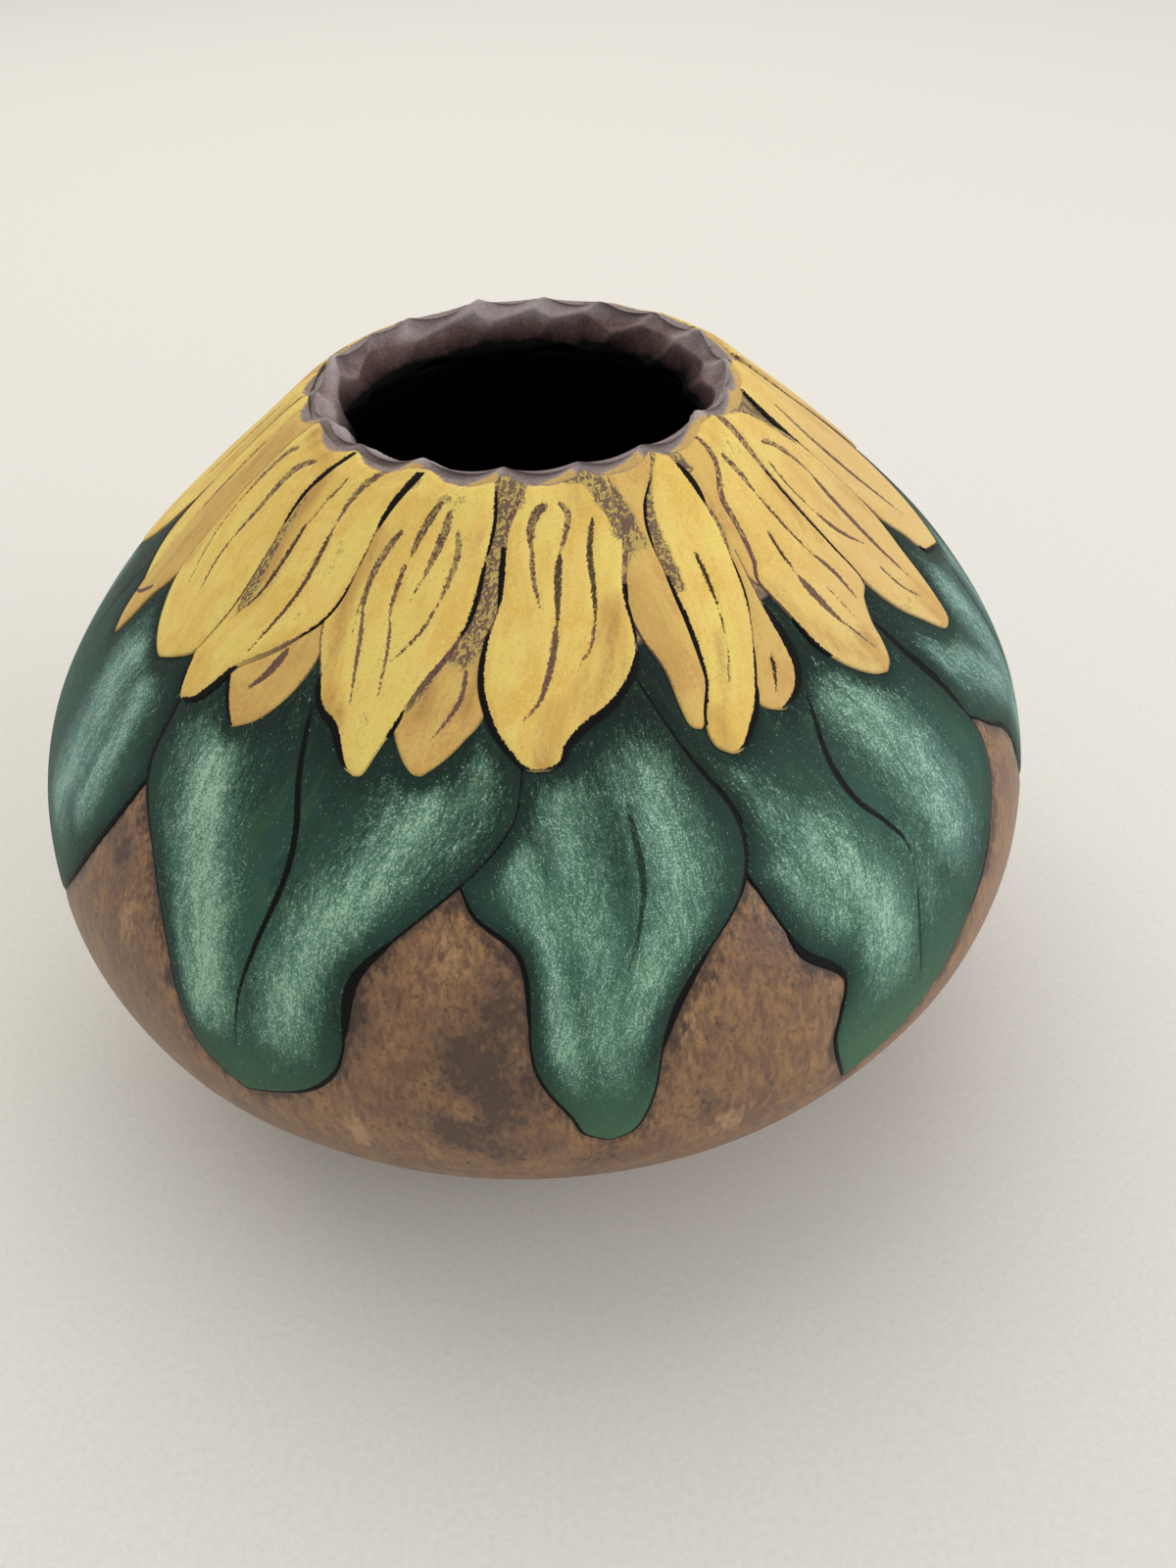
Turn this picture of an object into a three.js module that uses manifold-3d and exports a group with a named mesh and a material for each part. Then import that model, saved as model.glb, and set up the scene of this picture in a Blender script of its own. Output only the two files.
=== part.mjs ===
import * as THREE from 'three';
import { mergeVertices } from 'three/addons/utils/BufferGeometryUtils.js';
import Module from 'manifold-3d';

const wasm = await Module();
wasm.setup();

// Driving sizes in millimetres, slopes in degrees
const bellyRadius = 85;
const footRadius = 30;
const lowerDepth = 57.2;
const shoulderHeight = 70.3;
const bellyHandle = 27.8;
const mouthHandle = 41.5;
const mouthSlope = 40.4;
const mouthRadius = 32.1;
const mouthLean = 2.05;

const wallThickness = 6;
const floorThickness = 5.5;
const rimDepth = 8.5;
const rimRise = 1.0;
const rimCutIn = 5.6;
const rimOverhang = 2.2;
const crestInset = 0.85;
const rimFacets = 30;
const rimScallops = 15;
const facetHollow = 0.6;
const scallopDip = 0.9;

const seatGap = 0.3;
const coatGap = 0.35;
const coatThickness = 0.7;
const liningThickness = 0.8;
const grooveWidth = 1.0;
const rimGroove = 0.9;

// Heights that follow from the driving sizes
const bellyHeight = lowerDepth * Math.sqrt( 1 - ( footRadius / bellyRadius ) ** 2 );
const mouthHeight = bellyHeight + shoulderHeight;

// Mesh density
const turns = 54;
const liningTurns = 32;
const outerRows = 23;
const innerRows = 14;
const outlineStep = 4;
const fieldStep = 7.5;
const fieldTolerance = 0.06;

// Painted outlines were read on a side this long, from the mouth down to the foot
const drawnSide = 173.6;
const degreeStep = 1.3;

// The side of the gourd, from the mouth down over the belly to the edge of the foot
const slope = THREE.MathUtils.degToRad( mouthSlope );
const mouth = new THREE.Vector2( mouthRadius, mouthHeight );
const belly = new THREE.Vector2( bellyRadius, bellyHeight );
const side = new THREE.CurvePath();
side.add( new THREE.CubicBezierCurve(
	mouth,
	new THREE.Vector2( mouth.x + mouthHandle * Math.cos( slope ), mouth.y - mouthHandle * Math.sin( slope ) ),
	new THREE.Vector2( belly.x, belly.y + bellyHandle ),
	belly
) );
const footAngle = - Math.acos( footRadius / bellyRadius );
side.add( new THREE.EllipseCurve( 0, bellyHeight, bellyRadius, lowerDepth, 0, footAngle, true ) );
const sideLength = side.getLength();
const sideScale = sideLength / drawnSide;

// A point on the side, down from the mouth by a drawn length and out from the skin by a height
function sidePoint( drawnLength, out ) {

	const at = THREE.MathUtils.clamp( drawnLength * sideScale / sideLength, 0, 1 );
	const point = side.getPointAt( at );
	const along = side.getTangentAt( at );
	return new THREE.Vector2( point.x - along.y * out, point.y + along.x * out );

}

// The neck grew a little to one side, more so towards the mouth
function leanOf( z ) {

	const up = Math.max( 0, ( z - bellyHeight ) / shoulderHeight );
	return mouthLean * up * up;

}

function onGourd( azimuth, drawnLength, out ) {

	const point = sidePoint( drawnLength, out );
	return new THREE.Vector3(
		point.x * Math.sin( azimuth ) + leanOf( point.y ),
		- point.x * Math.cos( azimuth ),
		point.y
	);

}

// Closed meshes with shared corners
function closed( geometry ) {

	geometry.deleteAttribute( 'normal' );
	geometry.deleteAttribute( 'uv' );
	const merged = mergeVertices( geometry, 1e-4 );
	const index = merged.index.array;
	const kept = [];
	for ( let i = 0; i < index.length; i += 3 ) {

		const [ a, b, c ] = index.slice( i, i + 3 );
		if ( a !== b && b !== c && c !== a ) kept.push( a, b, c );

	}

	merged.setIndex( kept );
	return merged;

}

function toSolid( geometry ) {

	const merged = closed( geometry );
	const mesh = new wasm.Mesh( {
		numProp: 3,
		vertProperties: new Float32Array( merged.attributes.position.array ),
		triVerts: new Uint32Array( merged.index.array )
	} );
	return new wasm.Manifold( mesh );

}

function toGeometry( solid ) {

	const mesh = solid.getMesh();
	const geometry = new THREE.BufferGeometry();
	geometry.setAttribute( 'position', new THREE.BufferAttribute( new Float32Array( mesh.vertProperties ), 3 ) );
	geometry.setIndex( Array.from( mesh.triVerts ) );
	geometry.computeVertexNormals();
	return geometry;

}

// A profile of radius and height turned about the gourd's own axis
function revolve( profile, segments ) {

	const geometry = closed( new THREE.LatheGeometry( profile, segments ) );
	geometry.rotateX( Math.PI / 2 );
	const position = geometry.attributes.position;
	for ( let i = 0; i < position.count; i ++ ) {

		position.setX( i, position.getX( i ) + leanOf( position.getZ( i ) ) );

	}

	geometry.computeVertexNormals();
	return geometry;

}

// Hollow inside: an elliptical bowl below, a shoulder that thickens to the cut mouth above
const seatFoot = new THREE.Vector2( mouth.x - rimCutIn + rimOverhang, mouth.y + rimRise - rimDepth );
const hollowRadius = bellyRadius - wallThickness;
const hollowDepth = bellyHeight - floorThickness;

function hollowProfile( inset ) {

	const top = new THREE.Vector2( seatFoot.x + inset * 0.3, seatFoot.y - inset );
	const shoulder = new THREE.CubicBezierCurve(
		top,
		new THREE.Vector2( top.x + 0.78 * mouthHandle * Math.cos( slope ), top.y - 0.78 * mouthHandle * Math.sin( slope ) ),
		new THREE.Vector2( hollowRadius - inset, bellyHeight + 0.8 * bellyHandle ),
		new THREE.Vector2( hollowRadius - inset, bellyHeight )
	);
	const bowl = new THREE.EllipseCurve(
		0, bellyHeight, hollowRadius - inset, hollowDepth - inset, 0, - Math.PI / 2, true );
	const points = [ ...shoulder.getPoints( innerRows / 2 ), ...bowl.getPoints( innerRows / 2 ).slice( 1 ) ];
	points[ points.length - 1 ].x = 0;
	return points;

}

function shellGeometry() {

	const skin = [];
	for ( let i = 0; i <= outerRows; i ++ ) skin.push( sidePoint( drawnSide * i / outerRows, 0 ) );
	const foot = new THREE.Vector2( 0, 0 );
	return revolve( [ foot, ...skin.reverse(), ...hollowProfile( 0 ) ], turns );

}

function liningGeometry() {

	const outside = hollowProfile( coatGap );
	const inside = hollowProfile( coatGap + liningThickness );
	return revolve( [ ...outside.reverse(), ...inside ], liningTurns );

}

// The carved lip: outer facets, a scalloped crest and two staggered rows of gouge cuts
function ridge( turn, count, shift ) {

	const place = turn * count + shift;
	const fromRidge = Math.abs( place - Math.round( place ) );
	return 1 - 4 * fromRidge * ( 1 - fromRidge );

}

function rimSection( turn ) {

	const outer = ridge( turn, rimFacets, 0 );
	const first = ridge( turn, rimScallops, 0 );
	const second = ridge( turn, rimScallops, 0.5 );
	const uneven = 0.2 * Math.sin( 7 * turn * 2 * Math.PI ) + 0.15 * Math.sin( 4 * turn * 2 * Math.PI );
	const crest = new THREE.Vector2( mouth.x - crestInset, mouth.y + rimRise );
	const foot = new THREE.Vector2( mouth.x - rimCutIn, mouth.y + rimRise - 0.85 * rimDepth );
	const onFace = ( share, hollow ) => new THREE.Vector2().lerpVectors( crest, foot, share ).add(
		new THREE.Vector2( hollow, 0.5 * hollow )
	);
	const seat = new THREE.Vector2().subVectors( mouth, seatFoot ).normalize();
	const lift = new THREE.Vector2( - seat.y, seat.x ).multiplyScalar( seatGap );
	return [
		new THREE.Vector2( mouth.x, mouth.y ).add( lift ),
		new THREE.Vector2( crest.x - 0.5 * facetHollow * ( 1 - outer ), crest.y - scallopDip * ( 1 - first ) + uneven ),
		onFace( 0.3, - facetHollow * first ),
		onFace( 0.5, - facetHollow ),
		onFace( 0.75, - facetHollow * second ),
		foot,
		new THREE.Vector2( seatFoot.x, seatFoot.y ).add( lift )
	];

}

function rimGeometry() {

	const columns = 90;
	const rows = rimSection( 0 ).length;
	const corners = [];
	const faces = [];
	for ( let i = 0; i < columns; i ++ ) {

		const turn = i / columns;
		const azimuth = turn * 2 * Math.PI;
		for ( const point of rimSection( turn ) ) {

			corners.push(
				point.x * Math.sin( azimuth ) + leanOf( point.y ),
				- point.x * Math.cos( azimuth ),
				point.y
			);

		}

		for ( let j = 0; j < rows; j ++ ) {

			const here = i * rows;
			const next = ( ( i + 1 ) % columns ) * rows;
			const up = ( j + 1 ) % rows;
			faces.push( here + j, next + j, next + up, here + j, next + up, here + up );

		}

	}

	const geometry = new THREE.BufferGeometry();
	geometry.setAttribute( 'position', new THREE.Float32BufferAttribute( corners, 3 ) );
	geometry.setIndex( faces );
	geometry.computeVertexNormals();
	return geometry;

}

// Painted fields as drawn: degrees around from the front, length down from the mouth
const petals = [
	{
		name: 'petal_04', colour: '#e2bd5e',
		left: [ [ - 66, 0 ], [ - 69, 8 ], [ - 70, 15 ], [ - 69.5, 23 ], [ - 68.5, 31 ], [ - 65, 35.5 ], [ - 58.6, 39.3 ] ],
		right: [ [ - 45.5, 0 ], [ - 50, 5 ], [ - 51.8, 10 ], [ - 50.6, 17 ], [ - 50.2, 26 ], [ - 52.7, 34.7 ], [ - 58.6, 39.3 ] ]
	},
	{
		name: 'petal_05', colour: '#e0b656',
		left: [ [ - 52, 0 ], [ - 56, 12 ], [ - 55, 26 ], [ - 51.8, 36 ], [ - 49.6, 41.3 ] ],
		right: [ [ - 25, 0 ], [ - 29, 6 ], [ - 30, 14 ], [ - 31.5, 22 ], [ - 37, 28 ], [ - 43.5, 33.5 ], [ - 46.7, 39.5 ],
			[ - 49.6, 41.3 ] ]
	},
	{
		name: 'petal_07', colour: '#e3bc5a',
		left: [ [ - 33, 0 ], [ - 34, 12 ], [ - 32, 24 ], [ - 28.7, 31.3 ], [ - 24, 36 ], [ - 20.8, 42 ] ],
		right: [ [ - 6, 0 ], [ - 6, 9 ], [ - 8, 18 ], [ - 12, 26 ], [ - 17, 33 ], [ - 18.5, 39 ], [ - 20.8, 42 ] ]
	},
	{
		name: 'petal_06', colour: '#cf9f4e',
		left: [ [ - 45, 18 ], [ - 45, 28 ], [ - 43.5, 35 ], [ - 39.2, 41.2 ] ],
		right: [ [ - 31, 18 ], [ - 31, 28 ], [ - 33, 34 ], [ - 36, 38.5 ], [ - 39.2, 41.2 ] ]
	},
	{
		name: 'petal_09', colour: '#e6c05c',
		left: [ [ 1, 0 ], [ - 2, 8 ], [ - 3.5, 17 ], [ - 5.2, 24 ], [ - 5, 30 ], [ - 2, 36 ], [ 2.6, 40.4 ] ],
		right: [ [ 20, 0 ], [ 19.5, 10 ], [ 16.6, 19 ], [ 16.4, 26 ], [ 12.5, 31.5 ], [ 7, 35.5 ], [ 2.6, 40.4 ] ]
	},
	{
		name: 'petal_08', colour: '#c99b4c',
		left: [ [ - 10, 0 ], [ - 14, 14 ], [ - 17, 28 ], [ - 16.4, 36.5 ], [ - 12.5, 40.8 ] ],
		right: [ [ 4, 0 ], [ - 1, 18 ], [ - 4.5, 32 ], [ - 8, 38 ], [ - 12.5, 40.8 ] ]
	},
	{
		name: 'petal_11', colour: '#ead067',
		left: [ [ 34, 0 ], [ 26, 6.5 ], [ 24.7, 13 ], [ 25.6, 24 ], [ 25.4, 33 ], [ 23, 39.5 ], [ 25.2, 43.4 ] ],
		right: [ [ 36.5, 0.5 ], [ 38.4, 8 ], [ 38.2, 17 ], [ 35.8, 27 ], [ 31.3, 35.5 ], [ 28.6, 40.5 ], [ 25.2, 43.4 ] ]
	},
	{
		name: 'petal_10', colour: '#cfa24f',
		left: [ [ 15, 0 ], [ 14, 14 ], [ 16.8, 23 ], [ 20.2, 31 ], [ 20.6, 37 ], [ 22.4, 39.6 ] ],
		right: [ [ 35, 0 ], [ 30, 14 ], [ 28, 30 ], [ 25, 37 ], [ 22.4, 39.6 ] ]
	},
	{
		name: 'petal_14', colour: '#ddb35a',
		left: [ [ 48, 0 ], [ 47.4, 7 ], [ 43.8, 12 ], [ 40.4, 23 ], [ 43.2, 34.5 ], [ 47, 41 ], [ 51.9, 44.6 ] ],
		right: [ [ 58.4, 0 ], [ 57.8, 14 ], [ 59.3, 28 ], [ 58.8, 33.5 ], [ 55.8, 37 ], [ 54.7, 41 ], [ 51.9, 44.6 ] ]
	},
	{
		name: 'petal_12', colour: '#cb984b',
		left: [ [ 33, 18 ], [ 31, 28 ], [ 31, 37 ], [ 33.6, 40.6 ] ],
		right: [ [ 39.2, 18 ], [ 38.8, 29 ], [ 38, 36 ], [ 33.6, 40.6 ] ]
	},
	{
		name: 'petal_13', colour: '#dab25a',
		left: [ [ 34, 0 ], [ 35, 10 ], [ 37.5, 18 ], [ 39.8, 24 ] ],
		right: [ [ 50, 0 ], [ 50, 8 ], [ 45, 17 ], [ 39.8, 24 ] ]
	},
	{
		name: 'petal_15', colour: '#e0ba5f',
		left: [ [ 60, 0 ], [ 59, 14 ], [ 59, 27 ], [ 60.6, 36 ], [ 64, 42 ], [ 69.3, 49.3 ] ],
		right: [ [ 65, 0 ], [ 74, 9 ], [ 76.6, 17 ], [ 76, 29 ], [ 73.5, 38 ], [ 71, 46.7 ], [ 69.3, 49.3 ] ]
	},
	{
		name: 'petal_16', colour: '#dfb95f',
		left: [ [ 80, 0 ], [ 76.9, 6 ], [ 77, 20 ], [ 77.2, 34 ], [ 80, 42 ], [ 88.6, 47.8 ] ],
		right: [ [ 97, 0 ], [ 100, 14 ], [ 99, 28 ], [ 94, 41 ], [ 88.6, 47.8 ] ]
	},
	{
		name: 'petal_03', colour: '#d3a255',
		left: [ [ - 79, 0 ], [ - 80.5, 15 ], [ - 79.6, 30 ], [ - 77, 41 ], [ - 73.3, 45.2 ] ],
		right: [ [ - 64, 0 ], [ - 66, 16 ], [ - 69, 30 ], [ - 71.8, 39.5 ], [ - 73.3, 45.2 ] ]
	},
	{
		name: 'petal_02', colour: '#dfb75c',
		left: [ [ - 86, 0 ], [ - 88, 11 ], [ - 88, 22 ], [ - 85, 32 ], [ - 78, 37.5 ] ],
		right: [ [ - 77, 0 ], [ - 76, 15 ], [ - 76, 30 ], [ - 78, 37.5 ] ]
	},
	{
		name: 'petal_01', colour: '#dfb75c',
		left: [ [ - 101, 0 ], [ - 105, 13 ], [ - 105, 28 ], [ - 102, 38 ], [ - 98, 45 ] ],
		right: [ [ - 87, 0 ], [ - 88.5, 12 ], [ - 88.5, 26 ], [ - 92, 37 ], [ - 98, 45 ] ]
	}
];

const leaves = [
	{
		name: 'leaf_02', colour: '#2f5348',
		left: [ [ - 50, 26 ], [ - 49.6, 44 ], [ - 48.8, 53 ], [ - 43, 63 ], [ - 39, 72 ], [ - 36.6, 82 ], [ - 30, 94 ] ],
		right: [ [ - 1, 26 ], [ - 0.6, 42 ], [ - 3, 50 ], [ - 12, 61 ], [ - 17.6, 69 ], [ - 18.4, 80 ], [ - 23, 89 ], [ - 30, 94 ] ]
	},
	{
		name: 'leaf_03', colour: '#305449',
		left: [ [ - 4, 26 ], [ - 8, 45 ], [ - 6, 57.5 ], [ - 0.6, 65 ], [ - 0.1, 80 ], [ 3, 90 ], [ 6.5, 96.5 ] ],
		right: [ [ 14, 26 ], [ 19.5, 42 ], [ 23, 52 ], [ 21.5, 62 ], [ 13.4, 73 ], [ 11, 84 ], [ 6.5, 96.5 ] ]
	},
	{
		name: 'leaf_04', colour: '#33594d',
		left: [ [ 14, 26 ], [ 18, 42 ], [ 21, 52 ], [ 23.2, 61 ], [ 26.5, 71.5 ], [ 31, 79 ], [ 30, 91 ], [ 32.5, 103 ] ],
		right: [ [ 54, 26 ], [ 56, 42 ], [ 59.5, 55 ], [ 61, 66 ], [ 56, 77 ], [ 47, 90 ], [ 40, 99.5 ], [ 32.5, 103 ] ]
	},
	{
		name: 'leaf_05', colour: '#33574c',
		left: [ [ 50, 26 ], [ 54, 42 ], [ 58, 55 ], [ 63.5, 63.3 ], [ 69, 70 ], [ 72, 82 ], [ 83, 98 ] ],
		right: [ [ 99, 26 ], [ 101, 44 ], [ 99, 56 ], [ 93, 68 ], [ 92, 82 ], [ 83, 98 ] ]
	},
	{
		name: 'leaf_01', colour: '#36594e',
		left: [ [ - 112, 26 ], [ - 112, 42 ], [ - 108, 54 ], [ - 99, 66 ], [ - 94, 80 ], [ - 80, 97 ] ],
		right: [ [ - 44, 26 ], [ - 47, 44 ], [ - 48.8, 53 ], [ - 53, 65.5 ], [ - 59, 79 ], [ - 68, 91.5 ], [ - 80, 97 ] ]
	}
];

// The side turned away repeats the drawn fields, moved around by these degrees
const petalRepeats = [
	{ of: 'petal_04', name: 'petal_17', turn: 171 },
	{ of: 'petal_05', name: 'petal_18', turn: 171 },
	{ of: 'petal_07', name: 'petal_20', turn: 171 },
	{ of: 'petal_06', name: 'petal_19', turn: 171 },
	{ of: 'petal_09', name: 'petal_22', turn: 171 },
	{ of: 'petal_08', name: 'petal_21', turn: 171 },
	{ of: 'petal_11', name: 'petal_24', turn: 172 },
	{ of: 'petal_10', name: 'petal_23', turn: 172 },
	{ of: 'petal_14', name: 'petal_27', turn: 172 },
	{ of: 'petal_12', name: 'petal_25', turn: 172 },
	{ of: 'petal_13', name: 'petal_26', turn: 172 },
	{ of: 'petal_15', name: 'petal_28', turn: 172 },
	{ of: 'petal_03', name: 'petal_29', turn: 323 }
];
const leafRepeats = [
	{ of: 'leaf_04', name: 'leaf_06', turn: 79 },
	{ of: 'leaf_03', name: 'leaf_07', turn: 148 },
	{ of: 'leaf_02', name: 'leaf_08', turn: 218 },
	{ of: 'leaf_04', name: 'leaf_09', turn: 191 }
];

function repeated( drawn, repeat ) {

	const source = drawn.find( ( field ) => field.name === repeat.of );
	const moved = ( points ) => points.map( ( [ around, down ] ) => [ around + repeat.turn, down ] );
	return {
		name: repeat.name,
		colour: source.colour,
		left: moved( source.left ),
		right: moved( source.right )
	};

}

// A field's outline on the unrolled side, as smooth edges that meet at the tip
function outlineOf( field ) {

	const flat = ( [ around, down ] ) => new THREE.Vector2( around * degreeStep, - Math.max( down, rimGroove ) );
	const edgePoints = ( points ) => {

		const edge = new THREE.SplineCurve( points.map( flat ) );
		return edge.getSpacedPoints( Math.ceil( edge.getLength() / outlineStep ) );

	};

	const downLeft = edgePoints( field.left );
	const downRight = edgePoints( field.right );
	return [ ...downLeft, ...downRight.reverse().slice( 1 ) ];

}

// The same outline moved out by a true distance on the skin
function grown( outline, distance ) {

	return outline.map( ( point, i ) => {

		const before = outline[ ( i + outline.length - 1 ) % outline.length ];
		const after = outline[ ( i + 1 ) % outline.length ];
		const squeeze = sidePoint( - point.y, 0 ).x * Math.PI / 180 / degreeStep;
		const along = new THREE.Vector2( ( after.x - before.x ) * squeeze, after.y - before.y ).normalize();
		return new THREE.Vector2( point.x + along.y * distance / squeeze, point.y - along.x * distance );

	} );

}

function slab( outline, low, high ) {

	const geometry = new THREE.ExtrudeGeometry( new THREE.Shape( outline ), {
		depth: high - low,
		bevelEnabled: false
	} );
	geometry.translate( 0, 0, low );
	return toSolid( geometry );

}

function largest( solid ) {

	const parts = solid.decompose();
	parts.sort( ( a, b ) => b.volume() - a.volume() );
	return parts[ 0 ];

}

const fieldLow = coatGap;
const fieldHigh = coatGap + coatThickness;
const fullTurn = 360 * degreeStep;

function cutAway( solid, covers ) {

	let left = solid;
	for ( const cover of covers ) {

		for ( const around of [ - fullTurn, 0, fullTurn ] ) {

			const moved = cover.map( ( point ) => new THREE.Vector2( point.x + around, point.y ) );
			left = left.subtract( slab( moved, fieldLow - 1, fieldHigh + 1 ) );

		}

	}

	return largest( left );

}

function fieldGeometry( outline, covers ) {

	const flat = cutAway( slab( outline, fieldLow, fieldHigh ), covers );
	const bent = flat.refineToLength( fieldStep ).warp( ( corner ) => {

		const azimuth = THREE.MathUtils.degToRad( corner[ 0 ] / degreeStep );
		const place = onGourd( azimuth, - corner[ 1 ], corner[ 2 ] );
		corner[ 0 ] = place.x;
		corner[ 1 ] = place.y;
		corner[ 2 ] = place.z;

	} );
	return toGeometry( bent.simplify( fieldTolerance ) );

}

// The assembly
const gourd = new THREE.Group();

function addMesh( name, geometry, colour, roughness ) {

	const material = new THREE.MeshStandardMaterial( { color: colour, roughness, metalness: 0 } );
	const mesh = new THREE.Mesh( geometry, material );
	mesh.name = name;
	gourd.add( mesh );

}

addMesh( 'gourd_shell', shellGeometry(), '#8b5c3e', 0.45 );
addMesh( 'mouth_rim', rimGeometry(), '#5a4a49', 0.7 );
addMesh( 'black_lining', liningGeometry(), '#0d0c0e', 0.6 );

const covers = [];

function addFields( drawn, repeats, roughness ) {

	const fields = [ ...drawn, ...repeats.map( ( repeat ) => repeated( drawn, repeat ) ) ];
	for ( const field of fields ) {

		const outline = outlineOf( field );
		addMesh( field.name, fieldGeometry( outline, covers ), field.colour, roughness );
		covers.push( grown( outline, grooveWidth ) );

	}

}

addFields( petals, petalRepeats, 0.55 );
addFields( leaves, leafRepeats, 0.55 );

export default gourd;
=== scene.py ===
import math

import bpy
import numpy as np
from mathutils import Matrix, Vector


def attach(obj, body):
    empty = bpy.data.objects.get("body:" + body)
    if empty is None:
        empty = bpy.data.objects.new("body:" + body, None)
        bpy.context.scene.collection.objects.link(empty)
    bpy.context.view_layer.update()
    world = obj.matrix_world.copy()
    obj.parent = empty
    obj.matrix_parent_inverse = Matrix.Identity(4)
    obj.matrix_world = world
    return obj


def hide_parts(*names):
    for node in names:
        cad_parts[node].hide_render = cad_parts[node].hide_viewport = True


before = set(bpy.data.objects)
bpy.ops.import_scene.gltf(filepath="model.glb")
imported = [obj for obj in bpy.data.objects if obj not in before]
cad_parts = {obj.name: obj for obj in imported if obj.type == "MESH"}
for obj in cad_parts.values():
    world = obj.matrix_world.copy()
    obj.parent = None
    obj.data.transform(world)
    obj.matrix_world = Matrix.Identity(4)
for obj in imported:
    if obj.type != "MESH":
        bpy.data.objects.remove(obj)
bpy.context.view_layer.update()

mm = 0.001
degree = math.pi / 180
fineness = 1.0


def toLinear(hexColour):
    channels = [int(hexColour[i:i + 2], 16) / 255 for i in (1, 3, 5)]
    return tuple(c / 12.92 if c <= 0.04045 else ((c + 0.055) / 1.055) ** 2.4 for c in channels) + (1.0,)


# A node given as an input stands for its first output, and a text for a colour
def addNode(tree, kind, inputs=None, **settings):
    node = tree.nodes.new(kind)
    for name, value in settings.items():
        setattr(node, name, value)
    for key, value in (inputs or {}).items():
        if isinstance(value, bpy.types.Node):
            value = value.outputs[0]
        if isinstance(value, str) and value.startswith("#"):
            value = toLinear(value)
        if isinstance(value, bpy.types.NodeSocket):
            tree.links.new(value, node.inputs[key])
        else:
            node.inputs[key].default_value = value
    return node


# The camera of the photograph, worked out from the gourd's outline in the 1200 x 1600 frame
cameraView = {
    "focalPixels": 1400.0,
    "frameHeight": 1600.0,
    "pitch": 39.46,
    "roll": -3.08,
    "target": (8.86, 0.0, 43.0),
    "distance": 259.7,
}


def placeCamera():
    pitch = cameraView["pitch"] * degree
    roll = cameraView["roll"] * degree
    back = Vector((0, -math.cos(pitch), math.sin(pitch)))
    level = Vector((1, 0, 0))
    upright = level.cross(-back)
    across = math.cos(roll) * level + math.sin(roll) * upright
    up = -math.sin(roll) * level + math.cos(roll) * upright
    place = (Vector(cameraView["target"]) + back * cameraView["distance"]) * mm
    data = bpy.data.cameras.new("photoCamera")
    data.sensor_width = 36
    data.lens = data.sensor_width * cameraView["focalPixels"] / cameraView["frameHeight"]
    camera = bpy.data.objects.new("photoCamera", data)
    camera.matrix_world = Matrix.Translation(place) @ Matrix((across, up, back)).transposed().to_4x4()
    bpy.context.scene.collection.objects.link(camera)
    bpy.context.scene.camera = camera


placeCamera()
print("camera placed")


# The gourd: a leaning shoulder over an elliptical bowl that is sanded flat below (mm, degrees)
gourdShape = {
    "bellyRadius": 85.0,
    "footRadius": 30.0,
    "lowerDepth": 57.2,
    "shoulderHeight": 70.3,
    "bellyHandle": 27.8,
    "mouthHandle": 41.5,
    "mouthSlope": 40.4,
    "mouthRadius": 32.1,
    "mouthLean": 2.05,
    "wall": 6.0,
    "floor": 5.5,
    "drawnSide": 173.6,  # the painted outlines were read on a side this long
    "uneven": 0.35,
    "unevenSize": 40.0,
    "hollowHandles": (0.78, 0.8),  # the hollow's curve, as shares of the outside's
    "hollowLean": 0.3,
    "skinRise": 0.3,  # how far bare skin and paint stand up between the burnt grooves
    "skinStep": 1.25,
}
bellyHeight = gourdShape["lowerDepth"] * math.sqrt(
    1 - (gourdShape["footRadius"] / gourdShape["bellyRadius"]) ** 2)
mouthEdge = np.array([gourdShape["mouthRadius"], bellyHeight + gourdShape["shoulderHeight"]])
slope = gourdShape["mouthSlope"] * degree
downSlope = np.array([math.cos(slope), -math.sin(slope)])

# The carved lip (mm); its scoops are set out in two rows
lipShape = {
    "depth": 8.5,
    "rise": 1.0,
    "cutIn": 5.6,
    "overhang": 2.2,
    "crestInset": 1.3,
    "crestDrop": 0.15,  # leaves room for the ridges between the scoops
    "skirt": [(-0.5, 0.45), (0.3, -0.1), (1.4, -1.2), (2.6, -2.6)],  # down from the crest under the paint
    "crestScoops": 18,
    "innerScoops": 14,
    "jitter": 0.17,
    "scoopDepth": 1.5,
    "scoopCurve": 0.1,  # per mm
    "aspect": 1.5,  # scoops are this much longer around the mouth than down into it
    "skew": 0.5,
    "step": 0.28,
    "wear": 2,  # smoothing passes that round the ridges
    "seed": 11,
    "faceFoot": 0.85,  # how deep the carved face goes, as a share of the depth
    "faceStops": (1.0, 0.75, 0.5, 0.25, 0.08),
    "sectionStep": 0.25,
    "seatPoints": 20,
    "seatRows": 5,
    "ridgeMost": 0.8,
    "crestLine": 0.2,
    "innerLine": 0.42,  # the second row of scoops, as a share of the way down to the foot of the face
    "innerShift": 0.5,
    "crestBand": 0.06,
    "cutStep": 1.5,  # degrees
}
seatFoot = mouthEdge + np.array([
    lipShape["overhang"] - lipShape["cutIn"], lipShape["rise"] - lipShape["depth"]])


def bezier(a, b, c, d, count=160):
    t = np.linspace(0, 1, count)[:, None]
    return (1 - t) ** 3 * a + 3 * (1 - t) ** 2 * t * b + 3 * (1 - t) * t ** 2 * c + t ** 3 * d


def bowlArc(radius, depth, end, count=160):
    angle = np.linspace(0, end, count)
    return np.stack([radius * np.cos(angle), bellyHeight + depth * np.sin(angle)], 1)


def lengthsOf(points):
    return np.concatenate([[0], np.cumsum(np.linalg.norm(np.diff(points, axis=0), axis=1))])


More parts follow.
